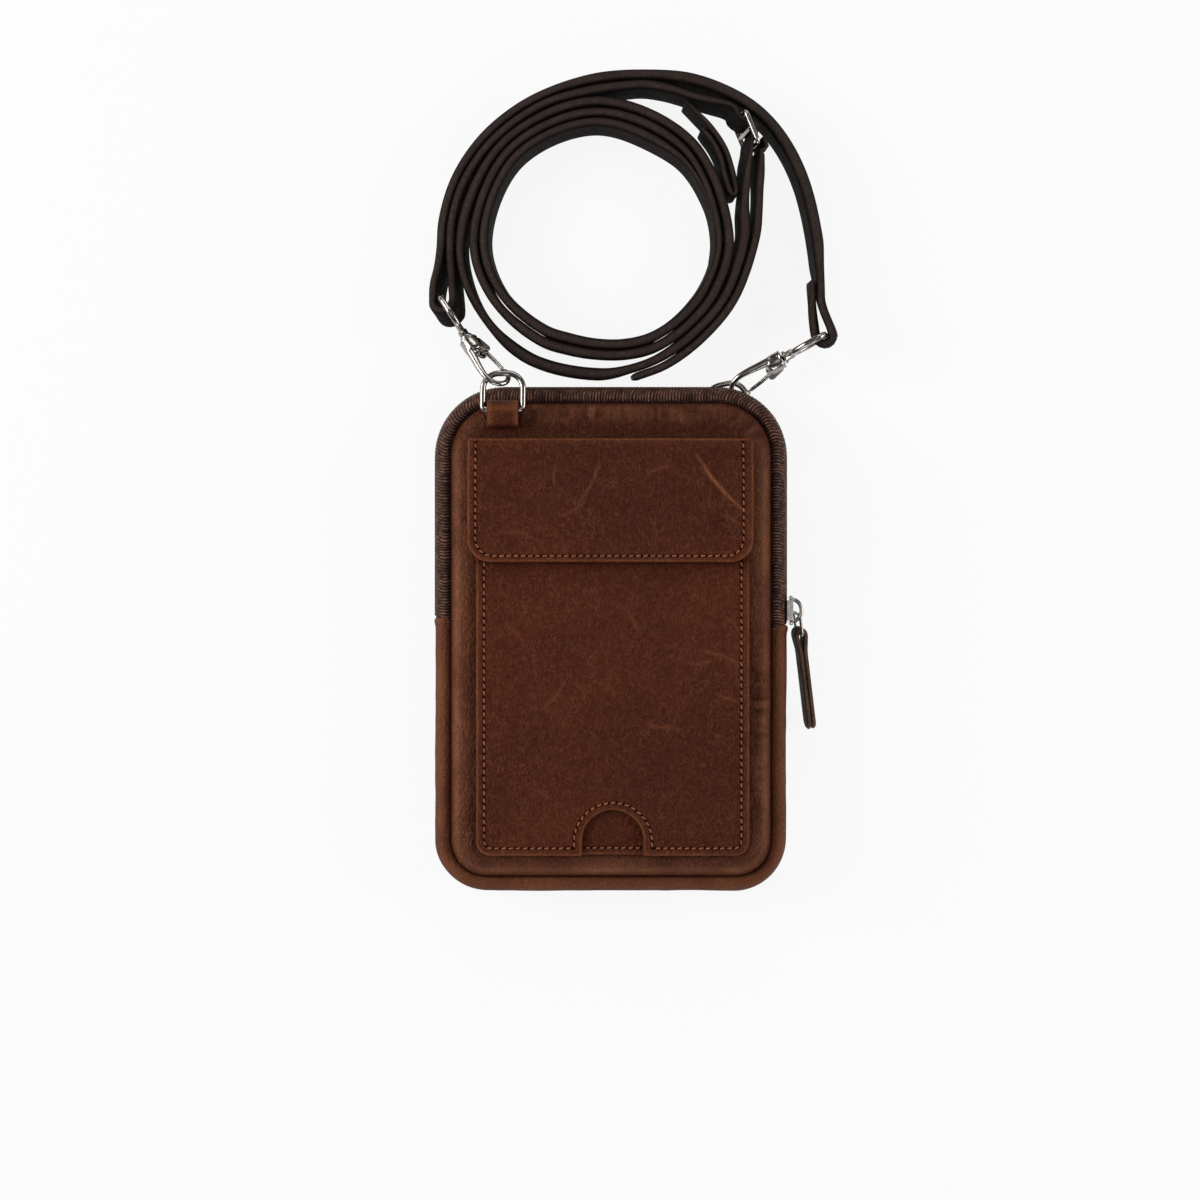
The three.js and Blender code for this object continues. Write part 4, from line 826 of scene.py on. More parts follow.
def softbox(name, place, size, power, target=(0.0, 0.04, 0.0), sheen_only=False):
    d = bpy.data.lights.new(name, "AREA")
    d.shape = "RECTANGLE"
    d.size, d.size_y = size
    d.energy = power
    o = bpy.data.objects.new(name, d)
    o.location = place
    o.rotation_euler = (Vector(target) - Vector(place)).to_track_quat("-Z", "Y").to_euler()
    o.visible_diffuse = not sheen_only
    scene.collection.objects.link(o)


softbox("key_left", (-1.15, 0.25, 0.60), (0.8, 0.6), 17.5)
softbox("fill_right", (1.15, 0.10, 0.55), (0.9, 0.6), 10.5)
softbox("fill_top", (0.10, 1.25, 0.60), (1.0, 0.5), 5.0)
softbox("fill_front", (0.0, -1.20, 0.50), (1.0, 0.5), 6.2)
softbox("overhead", (0.0, 0.04, 1.7), (0.9, 0.9), 2.2, sheen_only=True)
world = bpy.data.worlds.new("studio")
world.use_nodes = True
world.node_tree.nodes["Background"].inputs["Color"].default_value = (0.5, 0.5, 0.5, 1.0)
world.node_tree.nodes["Background"].inputs["Strength"].default_value = 0.16
scene.world = world

floor = new_object("floor", [(-1600, -1600, -0.05), (1600, -1600, -0.05), (1600, 1600, -0.05), (-1600, 1600, -0.05)],
                   [[(0, 1, 2, 3)]], bpy.data.materials.new("floor_paper"))
fm = floor.data.materials[0]
fm.use_nodes = True
fb = fm.node_tree.nodes["Principled BSDF"]
fb.inputs["Base Color"].default_value = (0.08, 0.08, 0.08, 1.0)
fb.inputs["Roughness"].default_value = 0.9
fb.inputs["Specular IOR Level"].default_value = 0.0
fb.inputs["Emission Color"].default_value = (1.0, 1.0, 1.0, 1.0)
fb.inputs["Emission Strength"].default_value = 0.893


# ------------------------------------------------------------------ padded front and back panels
def panel_ring(inset, corner_n=24, long_n=230, short_n=180):
    a, b = BAG["a"] - inset, BAG["b"] - inset
    r = max(BAG["corner"] - inset, 1.5)
    t = max(BAG["top_corner"] - inset, 1.5)
    out = []
    for cx, cy, c, start, nxt, n in (
        (a - t, b - t, t, 0, (-(a - t), b), short_n),
        (-(a - t), b - t, t, 90, (-a, -(b - r)), long_n),
        (-(a - r), -(b - r), r, 180, (a - r, -b), short_n),
        (a - r, -(b - r), r, 270, (a, b - t), long_n),
    ):
        arc = arc_points(cx, cy, c, start, start + 90, corner_n)
        line = mix(arc[-1], arr(*nxt), np.arange(1, n)[:, None] / n)
        out += [arc, line]
    return np.vstack(out)


def dent(x, y):
    s = DENT["soft"]
    return step(DENT["x0"] - s, DENT["x0"], x) * (1 - step(DENT["x1"], DENT["x1"] + s, x)) * step(DENT["y0"] - s, DENT["y0"], y)


roll, lining = pchip(PANEL_ROLL), pchip(PANEL_LINING)
OUT_INSETS = [0, 0.12, 0.3, 0.55, 0.85, 1.2, 1.6, 2.0, 2.5, 3.0, 3.5, 4.0, 4.6, 5.2, 5.8, 6.4, 7.0, 7.6, 8.2, 8.8, 9.4, 10.0,
              10.6, 11.2, 11.8, 12.4, 13.0, 14.0, 15.5, 17.0, 19.0, 22.0, 27.0, 34.0, 42.0, 49.0, 53.0, 55.5]
IN_INSETS = [1.7, 2.4, 3.2, 4.2, 5.4, 7.0, 9.0, 11.2, 14.7, 18.2, 28.0, 42.0, 53.0, 55.3]


PANEL_RUN = lengths(panel_ring(0))


def panel(front):
    rows, dark, wear_and_highlight = [], [], []
    for inset in reversed(OUT_INSETS):
        p = panel_ring(inset)
        x, y = p[:, 0], p[:, 1]
        rise = roll(inset)
        seam = step(0.2, 2.2, inset)
        border = seam * (1 - step(6.0, 8.6, inset))
        p3 = np.column_stack([x, y, np.full(len(p), float(inset))])
        # soft waves of the padding, and small puckers that run in from the seam
        wave = 0.42 * noise(p3, 17.0, 3) + 0.22 * noise(p3, 6.0, 4)
        along = PANEL_RUN
        lengthwise = np.column_stack([along, np.full(len(p), inset * 0.3), np.full(len(p), 2.0)])
        fold = noise(lengthwise, 1.3, 7)
        pucker = 0.8 * noise(lengthwise, 2.4, 5) + fold
        gate = np.clip(step(-0.1, 0.6, noise(p3, 24.0, 6)) * (0.15 + 0.85 * step(-74, -50, y)) + step(64, 74, y) * (0.8 if front else 0), 0, 1)
        wave = wave + pucker * 0.22 * gate * (1 - step(5.0, 8.5, inset))
        if front:
            z = BAG["seam_front"] + rise + border * wave
            under = step(8.6, 10.4, inset)
            z = np.minimum(z, mix(24.6, 23.85, under))
        else:
            z = BAG["seam_back"] * (1 - rise / 6.1) - 0.5 * border * np.minimum(wave, 0)
            z = np.maximum(np.maximum(z, DENT["height"] * dent(x, y)), 0)
        rows.append(np.column_stack([x, y, z]))
        # Painted shade: dark at the seam crease, in a band beside the pocket's edge, in the pucker valleys and, on the
        # front, over the top border. Painted highlight along the crest of the padded roll, weaker at the top; random
        # paler patches and paler pucker crests come from rubbing and bending.
        shade = 0.85 * (1 - float(step(0.05, 0.75, inset))) + 0.22 * float(step(5.0, 9.0, inset))
        dark.append(np.clip(shade + 0.5 * border * np.maximum(-fold, 0) * gate + (0.1 * step(64, 74, y) if front else 0), 0, 1))
        ridge_highlight = math.exp(-((inset - 2.4) / 1.3) ** 2)
        wear_and_highlight.append(np.clip(0.4 * ridge_highlight * (1 - 0.75 * step(62, 76, y)) * (0.8 + 0.5 * noise(p3, 7.0, 9)) + 0.24 * border * (0.4 + noise(p3, 9.0, 8))
                            + 0.45 * np.maximum(fold, 0) * gate * border, 0, 1))
    for inset in IN_INSETS:
        p = panel_ring(inset)
        x, y = p[:, 0], p[:, 1]
        if front:
            z = np.full(len(p), BAG["seam_front"] + float(lining(inset)))
        else:
            z = np.maximum(BAG["seam_back"] * (1 - float(lining(inset)) / 6.1),
                           BAG["wall"] + DENT["height"] * dent(x, y) * float(step(0.6, 3.5, inset)))
        rows.append(np.column_stack([x, y, z]))
        dark.append(np.zeros(len(p)))
        wear_and_highlight.append(np.zeros(len(p)))
    verts, polys = tube(np.stack(rows))
    pad = lambda q: np.concatenate([np.concatenate(q), [0, 0]])
    name = "front_panel" if front else "back_panel"
    obj = new_object(name + "_padded", verts, polys, PANEL_LEATHER, dict(dark=pad(dark), wear_and_highlight=pad(wear_and_highlight)))
    return finish_piece(obj, "bag", "bag_leather", name)


panel(True)
panel(False)


# ------------------------------------------------------------------ side wall: leather below, zip above
def seam_path(from_y, to_y, over_top, gap):
    """Points on the seam line and the way out from it."""
    a, b, r = BAG["a"], BAG["b"], BAG["top_corner" if over_top else "corner"]
    s = 1 if over_top else -1
    pts = [np.array([[-a, from_y], [-a, s * (b - r)]])]
    pts.append(arc_points(-(a - r), s * (b - r), r, 180, 180 - 90 * s, 40)[1:])
    pts.append(arc_points(a - r, s * (b - r), r, 90 * s, 0, 40))
    pts.append(np.array([[a, to_y]]))
    p = resample(np.vstack(pts), gap)
    t = unit(np.vstack([p[1] - p[0], p[2:] - p[:-2], p[-1] - p[-2]]))
    n = np.stack([-t[:, 1], t[:, 0]], 1) * s
    return p, n, lengths(p)


def wall_section(outer, inner, n, both):
    """Outer then inner line of a bent wall, n points each."""
    def line(table):
        q = [(o, u) for o, u in table]
        if both:
            q = q + [(o, -u) for o, u in reversed(table[:-1])]
        return resample(smooth(q, 12), lengths(smooth(q, 12))[-1] / (n - 1))[:n]
    return line(outer), line(inner)


def side_wall(name, node, from_y, to_y, over_top, outer, inner, n, both, flip, gap, shape, material, slot):
    p, nrm, s = seam_path(from_y, to_y, over_top, gap)
    o, i = wall_section(outer, inner, n, both)
    t = unit(np.vstack([o[1] - o[0], o[2:] - o[:-2], o[-1] - o[-2]]))
    on = np.stack([-t[:, 1], t[:, 0]], 1)
    on = on if (on[n // 2] @ arr(1, 0.3)) > 0 else -on
    push, dark, wear_and_highlight, out_shift = shape(p, s, o)
    k = len(p)
    sec = o[None] + on[None] * push[..., None]
    full = np.concatenate([sec, np.broadcast_to(i[::-1], (k, n, 2))], 1)
    full[..., 0] += out_shift[:, None] * step(0.3, 1.7, full[..., 0])
    full[..., 1] *= flip
    grid = np.empty((k, 2 * n, 3))
    grid[..., :2] = p[:, None] + nrm[:, None] * full[..., :1]
    grid[..., 2] = MID + full[..., 1]
    verts, polys = tube(grid, shell=True)
    z = np.zeros((k, n))
    obj = new_object(name, verts, polys, material,
                     dict(dark=np.concatenate([dark, z], 1).ravel(), wear_and_highlight=np.concatenate([wear_and_highlight, z], 1).ravel()))
    return finish_piece(obj, "bag", slot, node)


def gusset_shape(p, s, o):
    end = np.minimum(s, s[-1] - s)
    u = np.clip(end / LIP["length"], 0, 1)
    lip = LIP["proud"] * (1 - u * u) - 0.5 * (1 - np.sqrt(1 - (1 - np.minimum(end / 0.5, 1)) ** 2))
    p3 = np.stack(np.broadcast_arrays(p[:, None, 0], p[:, None, 1], o[None, :, 1] * 1.5), -1)
    wave = 0.22 * noise(p3, 15.0, 11) + 0.1 * noise(p3, 5.0, 12)
    fade = step(0.0, 2.0, np.minimum(o[:, 0] - 0.3, 9))[None]
    # Painted shade along the seam edge; painted highlight in a band along the upward side; a paler line at the turned
    # lip ends and random paler patches come from rubbing.
    dark = 0.8 * (1 - step(0.3, 1.0, o[:, 0]))[None] * np.ones((len(p), 1))
    wear_and_highlight = (0.32 * np.exp(-((end - 0.5) / 0.6) ** 2))[:, None] + 0.3 * np.exp(-((o[None, :, 1] - 5.3) / 1.2) ** 2) + 0.12 * noise(p3, 8.0, 13)
    return wave * fade, dark, np.clip(wear_and_highlight, 0, 1), lip


side_wall("gusset_leather_shell", "gusset_leather", BAG["zip_left"], BAG["zip_right"], False, GUSSET_OUTER, GUSSET_INNER, 27,
          True, 1, 0.9, gusset_shape, GUSSET_LEATHER, "bag_leather")

RIB = 1.05


def tape_shape(p, s, o):
    along = s[:, None] + 0.4 * o[None, :, 1] + 0.5 * noise(
        np.stack(np.broadcast_arrays(s[:, None], o[None, :, 1], np.float64(1.0)), -1), 2.2, 21)
    rib = np.abs(np.sin(np.pi * along / RIB))
    p3 = np.stack(np.broadcast_arrays(p[:, None, 0], p[:, None, 1], o[None, :, 1] * 2.0), -1)
    weave = 0.6 + 0.4 * noise(p3, 1.6, 22)
    fade = step(0.3, 1.2, o[:, 0])[None]
    push = fade * (0.42 * rib * weave - 0.22 + 0.12 * noise(p3, 7.0, 23))
    # Painted shade between the ribs and along the seam edge; painted highlight on the rib tops, varied at random.
    dark = 1.1 * (1 - rib) ** 1.3 + 0.8 * (1 - step(0.3, 1.1, o[:, 0]))[None]
    wear_and_highlight = 2.0 * np.clip(rib - 0.5, 0, 1) * (0.55 + 0.8 * noise(p3, 1.1, 24))
    tuck = -1.9 * (1 - step(0.0, 2.6, np.minimum(s, s[-1] - s)))
    return push, np.clip(dark, 0, 1), np.clip(wear_and_highlight, 0, 1), tuck


for node, flip in (("zip_tape_front", 1), ("zip_tape_back", -1)):
    side_wall(node + "_cloth", node, BAG["zip_left"] - 2.0, BAG["zip_right"] - 2.0, True, TAPE_OUTER, TAPE_INNER, 13, False, flip,
              RIB / 5, tape_shape, TAPE_CLOTH, "zip_tape")

# Zip teeth: two rows of bent nylon, meshing along the middle.
p, nrm, s = seam_path(BAG["zip_left"] + 0.6, BAG["zip_right"] + 0.6, True, COIL["pitch"] / 2)
teeth, a8 = [], np.linspace(0, 2 * np.pi, 8, endpoint=False)
for k in range(1, len(p) - 1):
    q, n, row = p[k], nrm[k], 1 if k % 2 else -1
    t = arr(-n[1], n[0])
    zc = np.array([-1.0, -0.72, 0.0, 0.72, 1.0]) * 1.05 + row * 0.28
    rr = np.array([0.2, 0.44, 0.52, 0.44, 0.2])
    bend = COIL["out"] + 0.28 - 0.5 * (zc / 1.3) ** 2
    grid = np.empty((5, 8, 3))
    grid[..., :2] = (q + n * bend[:, None])[:, None] + (rr[:, None] * np.cos(a8))[..., None] * n + (
        0.85 * rr[:, None] * np.sin(a8))[..., None] * t
    grid[..., 2] = MID + zc[:, None]
    teeth.append(flipped_out(tube(grid)))
core = seam_path(BAG["zip_left"] + 0.5, BAG["zip_right"] + 0.5, True, 1.5)
c3 = np.column_stack([core[0] + core[1] * (COIL["out"] - 0.3), np.full(len(core[0]), MID)])
teeth.append(wire(c3, 0.62, (0, 0, 1), 8))
v, polys = merge(teeth)
obj = new_object("zip_coil_teeth", v, polys, TEETH, dict(wear_and_highlight=np.clip(0.3 + 0.3 * noise(v, 2.0, 25), 0, 1), dark=np.zeros(len(v))))
finish_piece(obj, "bag", "zip_teeth", "zip_coil")


# ------------------------------------------------------------------ front pocket
def pocket_outline(inset, arch):
    q = POCKET
    l, r, b, t = q["x"] - q["half"] + inset, q["x"] + q["half"] - inset, q["bottom"] + inset, q["top"]
    c = q["corner"] - inset / 2
    pts = [np.array([[l, t], [l, b + c]]), arc_points(l + c, b + c, c, 180, 270)[1:]]
    if arch:
        h, cy = q["arch_half"], q["arch_top"] - q["arch_half"]
        pts += [np.array([[q["x"] - h, b]]), arc_points(q["x"], cy, h, 180, 0, 28), np.array([[q["x"] + h, b]])]
    pts += [arc_points(r - c, b + c, c, 270, 360), np.array([[r, t]])]
    return np.vstack(pts)


def u_line(left, right, bottom, top, r):
    """Down the left side, round the bottom and up the right."""
    pts = [np.array([[left, top]]), arc_points(left + r, bottom + r, r, 180, 270), arc_points(right - r, bottom + r, r, 270, 360),
           np.array([[right, top]])]
    return resample(np.vstack(pts), 0.4)


pocket_line = u_line(-44.7, 45.9, -73.4, 58.0, 2.6)
ax, ar = 0.68, 13.72
on_bottom = (np.abs(pocket_line[:, 0] - ax) < ar + 0.6) & (pocket_line[:, 1] < -73.3)
first, last = np.where(on_bottom)[0][[0, -1]]
pocket_lines = [pocket_line[:first], pocket_line[last + 1:]]
arch_line = resample(np.vstack([[[ax - ar, -73.4]], arc_points(ax, -57.4 - ar, ar, 180, 0, 40), [[ax + ar, -73.4]]]), 0.4)
base_lines = [np.array([[ax - ar + 0.4, -73.4], [-10.6, -73.4]]), np.array([[11.8, -73.4], [ax + ar - 0.4, -73.4]])]
front_lines = pocket_lines + [arch_line]
backing_line = resample(np.array([[-9.6, -73.4], [10.8, -73.4]]), 0.4)


def pocket_soft(x, y):
    open_ = 1 - step(22, 26, y)
    edge = np.minimum(np.minimum(x + 47.4, 48.6 - x), y + 76)
    quiet = step(0.5, 6, edge)
    return (0.26 * noise2(x, y, 26, 41) + 0.1 * noise2(x, y, 8, 42) + 0.05 * noise2(x, y, 3.2, 43)) * (0.25 + 0.75 * quiet) * open_


def pocket_height(x, y):
    return POCKET_Z[1] + pocket_soft(x, y) + creases(x, y, POCKET_CREASES)[0] * (1 - step(22, 26, y))


def pocket_top(x, y):
    return pocket_height(x, y) - seat(x, y, front_lines)[0]


def plate_attrs(verts, dist, wall, lines, table, pale=1.0, shade=0.0, under=None):
    x, y = verts[:, 0], verts[:, 1]
    # painted shade in the stitching's needle holes and groove
    dark = seat(x, y, lines)[1] * (dist < 8.9)
    wear_and_highlight = 0.7 * np.exp(-((dist - 0.3) / 0.32) ** 2) * (dist > 0.02)
    wear_and_highlight += 0.08 * np.exp(-((dist - 1.2) / 1.3) ** 2)
    wear_and_highlight = np.where(wall > 0, 0.55, wear_and_highlight)
    wear_and_highlight = wear_and_highlight * (0.72 + 0.28 * noise2(x, y, 5.0, 51))
    wear_and_highlight += creases(x, y, table)[1] * pale
    # shade: painted shade over the whole plate
    dark = dark + shade
    # painted shadow of the flap: 0.5 darker above the height under, fading out below it
    if under is not None:
        dark = dark + 0.5 * np.exp(-np.maximum(under - y, 0) / 3.2)
    return dict(dark=np.clip(dark, 0, 1), wear_and_highlight=np.clip(wear_and_highlight, 0, 1))


v, polys, d, w = plate(pocket_outline(0, True), pocket_top, lambda x, y: np.full(len(x), POCKET_Z[0]), 0.85,
                       np.vstack([seat_points(q) for q in front_lines]))
# the pocket gets a painted shadow below the flap's lower edge
obj = new_object("pocket_front_leather", v, polys, POCKET_LEATHER, plate_attrs(v, d, w, front_lines, POCKET_CREASES, 1.5, under=FLAP["bottom"]))
finish_piece(obj, "bag", "bag_leather", "pocket_front")


def backing_top(x, y):
    return BACKING_Z[1] + 0.05 * noise2(x, y, 9, 44) - 0.05 - seat(x, y, [backing_line])[0]


v, polys, d, w = plate(pocket_outline(0.3, False), backing_top, lambda x, y: np.full(len(x), BACKING_Z[0]), 1.6,
                       seat_points(backing_line), edge=0.4)
# the backing lies under the pocket: painted shade (shade=0.1)
obj = new_object("pocket_backing_leather", v, polys, POCKET_LEATHER, plate_attrs(v, d, w, [backing_line], [], shade=0.1))
finish_piece(obj, "bag", "bag_leather", "pocket_backing")

flap_drop = pchip(FLAP_DROP)
flap_line = u_line(-47.7, 46.6, 29.5, 69.6, 6.0)


def flap_height(x, y):
    soft = 0.2 * noise2(x, y, 24, 45) + 0.12 * noise2(x, y, 8, 46) + 0.05 * noise2(x, y, 3.0, 47)
    edge = np.minimum(np.minimum(x + 50.4, 50.0 - x), y - 27.4)
    quiet = (0.3 + 0.7 * step(0.5, 6, edge)) * (1 - step(62, 68, y))
    return BAG["depth"] + flap_drop(y) + FLAP["wall"] + soft * quiet + creases(x, y, FLAP_CREASES)[0]


def flap_top(x, y):
    return flap_height(x, y) - seat(x, y, [flap_line])[0]


fl, fr, fb_, fc = FLAP["x"] - FLAP["half"], FLAP["x"] + FLAP["half"], FLAP["bottom"], FLAP["corner"]
flap_outline = np.vstack([[[fl, FLAP["top"]]], arc_points(fl + fc, fb_ + fc, fc, 180, 270, 16),
                          arc_points(fr - fc, fb_ + fc, fc, 270, 360, 16), [[fr, FLAP["top"]]]])
v, polys, d, w = plate(flap_outline, flap_top, lambda x, y: BAG["depth"] + flap_drop(y), 0.75, seat_points(flap_line))
obj = new_object("pocket_flap_leather", v, polys, POCKET_LEATHER, plate_attrs(v, d, w, [flap_line], FLAP_CREASES, 1.5))
finish_piece(obj, "bag", "bag_leather", "pocket_flap")

v, polys = merge([stitches(q, pocket_height) for q in front_lines]
                 + [stitches(backing_line, lambda x, y: np.full(len(x), BACKING_Z[1] - 0.05))])
finish_piece(new_object("pocket_stitching", v, polys, THREAD), "bag", "bag_leather")
v, polys = stitches(flap_line, flap_height)
finish_piece(new_object("flap_stitching", v, polys, THREAD), "bag", "bag_leather")


# ------------------------------------------------------------------ rings and their tabs
def ring_frame(pose):
    x, y, z, tilt, lean, turn = pose
    u = arr(np.cos(rad(lean)) * np.cos(rad(turn)), np.cos(rad(lean)) * np.sin(rad(turn)), np.sin(rad(lean)))
    flat = arr(-np.sin(rad(turn)), np.cos(rad(turn)), 0)
    up = unit(np.cross(u, flat))
    w = flat * np.cos(rad(tilt)) + up * np.sin(rad(tilt))
    return arr(x, y, z), u, w, unit(np.cross(u, w))


for side in ("left", "right"):
    o, u, w, n = ring_frame(RING_POSES[side])
    h, L, c, bc = RING["half"], RING["length"], RING["corner"], RING["bar_corner"]
    flat = np.vstack([arc_points(h - c, L - c, c, 0, 90, 22), arc_points(-(h - c), L - c, c, 90, 180, 22),
                      arc_points(-(h - bc), bc, bc, 180, 270, 10), arc_points(h - bc, bc, bc, 270, 360, 10)])
    flat = densify(flat, 0.5)
    ring = o + flat[:, :1] * u + flat[:, 1:] * w
    v, polys = wire(ring, RING["r"], n, 24, joined=True)
    finish_piece(new_object("ring_" + side + "_wire", v, polys, NICKEL), "bag", "metal", "ring_" + side)
    table = TAB_LEFT if side == "left" else TAB_RIGHT
    line = resample(smooth([(RING_POSES[side][0], y, z) for y, z in table], 14), 0.35)
    ups = np.tile(arr(1, 0, 0), (len(line), 1))
    v, polys, across, face = ribbon(line, ups, TAB["wall"], TAB[side], edge=0.8, ends=2)
    v = v + np.column_stack([np.zeros(len(v)), np.zeros(len(v)), 0.05 * noise(v, 4.0, 61)])
    v[:, 2] = np.maximum(v[:, 2], 0)
    # Painted highlight in a band across the tab's raised top (y 81.5); paler side edges and random patches come from
    # rubbing; painted shade on the side rims and the folded lower end.
    wear_and_highlight = 0.6 * np.exp(-((np.abs(across) - 0.9) / 0.07) ** 2) + 0.3 * np.exp(-((v[:, 1] - 81.5) / 1.2) ** 2) + 0.2 * noise(v, 3.0, 62) - 0.05
    shade = np.maximum(0.85 * step(0.965, 1.0, np.abs(across)), 0.75 * (1 - step(75.0, 76.4, v[:, 1])))
    obj = new_object("ring_tab_" + side + "_leather", v, polys, POCKET_LEATHER,
                     dict(wear_and_highlight=np.clip(wear_and_highlight, 0, 1), dark=np.clip(shade, 0, 1)))
    finish_piece(obj, "bag", "bag_leather", "ring_tab_" + side)


# ------------------------------------------------------------------ snap hooks
def hook_frame(pose):
    x, y, z, yaw, pitch, roll_, eye = pose
    a = arr(np.cos(rad(yaw)) * np.cos(rad(pitch)), np.sin(rad(yaw)) * np.cos(rad(pitch)), np.sin(rad(pitch)))
    up = unit(arr(0, 0, 1) - a * a[2])
    flat = np.cross(up, a)
    n = up * np.cos(rad(roll_)) + flat * np.sin(rad(roll_))
    return arr(x, y, z), a, up, flat, n, np.cross(n, a)


EYES = {}
for side in ("left", "right"):
    o, a, up, flat, n, l = hook_frame(HOOK_POSES[side])
    place = (o, a, l, n)
    px, py = HOOK["pin"]
    # Sleeve with a thin collar, hollow for the swivel post; two cheeks fair it into the gate's ears.
    sleeve = lathe([(0.0, 2.6), (0.1, 3.1), (0.4, 3.42), (0.8, 3.42), (1.0, 3.22), (1.25, 3.22), (1.5, 3.32), (3.2, 3.34), (4.8, 3.22),
                    (5.9, 2.85), (6.3, 2.2), (5.2, 2.0), (4.95, 2.45), (3.0, 2.45), (3.0, 1.62), (0.3, 1.62)], 56, closed=True)
    nose = ball((5.3, -0.2, 0), 2.6, (0.66, 1.0, 0.9))
    arm_table = [(3.4, -1.75, 1.4)] + HOOK_ARM
    arm_line = smooth([(x, y, 0) for x, y, _ in arm_table], 10)
    arm_r = smooth([(r, 0) for *_, r in arm_table], 10)[:, 0]
    root = arm_line[:, 0] < 8.0
    parts = [sleeve, nose, wire(arm_line[:30][root[:30]], arm_r[:30][root[:30]], (0, 0, 1), 20)]
    cheek = smooth([(1.4, 1.6), (1.6, 3.0), (3.2, 3.75), (4.8, 4.35), (6.0, 4.8), (6.9, 4.8), (7.6, 4.25), (7.8, 3.3), (7.4, 2.3),
                    (6.6, 1.6), (5.6, 1.1), (3.8, 0.8), (1.4, 1.6)], 6)[:-1]
    for s_ in (1, -1):
        z0, z1 = sorted((s_ * HOOK["ear_in"], s_ * (HOOK["ear_out"] + 0.35)))
        parts.append(flipped_out(tube(np.stack([np.column_stack([cheek, np.full(len(cheek), z)]) for z in np.linspace(z0, z1, 4)]))))
    arm = [wire(arm_line, arm_r + 0.05, (0, 0, 1), 24), ball((16.75, 6.4, 0), 0.88)]
    obj = cast("hook_" + side + "_casting", parts, place, NICKEL, 0.13, 22, arm)
    finish_piece(obj, "hook_" + side, "metal", "hook_" + side + "_body")

    gx, gy = HOOK["gate_end"]
    q = np.linspace(0, 1, 24)[:, None]
    finger = mix(arr(px, py, 0), arr(gx, gy, 0), q) + arr(-0.25, 1, 0) * 0.22 * np.sin(np.pi * q)
    v, polys = merge([wire(finger, np.interp(q[:, 0], [0, 0.4, 1], [0.8, 0.76, 0.7]), (0, 0, 1), 22), ball((gx, gy, 0), 0.72),
                      disc(px, py, 1.25, -(HOOK["ear_in"] - 0.3), HOOK["ear_in"] - 0.3),
                      disc(px, py, HOOK["pin_r"], -(HOOK["ear_out"] + 0.2), HOOK["ear_out"] + 0.2)])
    obj = placed("hook_" + side + "_gate_finger", v, polys, place, NICKEL)
    finish_piece(obj, "gate_" + side, "metal", "hook_" + side + "_gate")

    # Eye: a wire loop across the strap's width on a headed post.
    bar, neck, eh = -HOOK_POSES[side][6], -3.6, HOOK["eye_half"]
    loop = [(neck, 0), (neck - 0.2, 3.4), (neck - 1.4, 6.4), (bar + 7.4, eh - 0.3), (bar + 5, eh), (bar + 1.5, eh), (bar, eh - 1.5),
            (bar, 0)]
    loop = loop + [(x, -z) for x, z in reversed(loop[:-1])]
    line = smooth([(x, 0, z) for x, z in loop], 10)[:-1]
    v, polys = merge([wire(line, HOOK["eye_r"], (0, 1, 0), 22, joined=True),
                      lathe([(neck - 0.8, 1.2), (neck - 0.5, 1.75), (-1.6, 1.75), (-1.3, 2.35), (-0.6, 2.4), (-0.4, 2.3), (-0.3, 1.25),
                             (HOOK["bore_at"] + 0.3, 1.25), (HOOK["bore_at"] + 0.45, 2.1), (HOOK["bore_at"] + 1.5, 2.1),
                             (HOOK["bore_at"] + 1.6, 1.7)], 36)])
    obj = placed("hook_" + side + "_eye_wire", v, polys, (o, a, flat, up), NICKEL)
    finish_piece(obj, "bag", "metal", "hook_" + side + "_eye")
    EYES[side] = (o + a * bar, up)


# ------------------------------------------------------------------ strap
STRAP_Z = STRAP["width"] / 2
SLIDE_MID = arr(SLIDE["x"], SLIDE["y"], SLIDE["z"])
slide_dir = arr(np.cos(rad(SLIDE["heading"])), np.sin(rad(SLIDE["heading"])), 0)
slide_side = arr(-slide_dir[1], slide_dir[0], 0)
slide_up = arr(0, 0, np.cos(rad(SLIDE["lean"]))) + slide_side * np.sin(rad(SLIDE["lean"]))
slide_face = np.cross(slide_up, slide_dir)


def slide_at(along, across, z=SLIDE["z"]):
    q = SLIDE_MID + slide_dir * along + slide_side * across
    return arr(q[0], q[1], z)


def run(table, z=STRAP_Z):
    return [arr(COIL_CENTRE[0] + r * np.cos(rad(t)), COIL_CENTRE[1] + r * np.sin(rad(t)), z) for t, r in table]


def eye_loop(side, hand):
    eye, up = EYES[side]
    radius, legs = EYE_LOOPS[side]
    leg = arr(np.cos(rad(legs)), np.sin(rad(legs)), 0)
    leg = unit(leg - up * (leg @ up))
    across = np.cross(leg, up) * hand
    return [eye + across * radius * np.cos(t) - leg * radius * np.sin(t) for t in np.pi * np.arange(7) / 6]


weave = [slide_at(x, SLIDE["weave"] * np.cos(np.pi * x / SLIDE["pitch"])) for x in -SLIDE["pitch"] + SLIDE["pitch"] * np.arange(7) / 3]
controls = (run(FOLD_BACK[::-1]) + eye_loop("right", -1) + run(OUTER_RUN) + eye_loop("left", -1) + run(INNER_RUN)
            + [slide_at(-1.55 * SLIDE["pitch"], -1.3 * SLIDE["weave"], STRAP_Z)] + weave
            + [arr(47.9, 169.2, STRAP_Z), arr(47.6, 162.5, STRAP_Z)] + run(COIL_RUN))
line = smooth(controls, 12)


def far_from(p, q):
    return np.hypot(p[:, 0] - q[0], p[:, 1] - q[1])


def slide_near(p):
    return 1 - step(9, 34, far_from(p, SLIDE_MID))


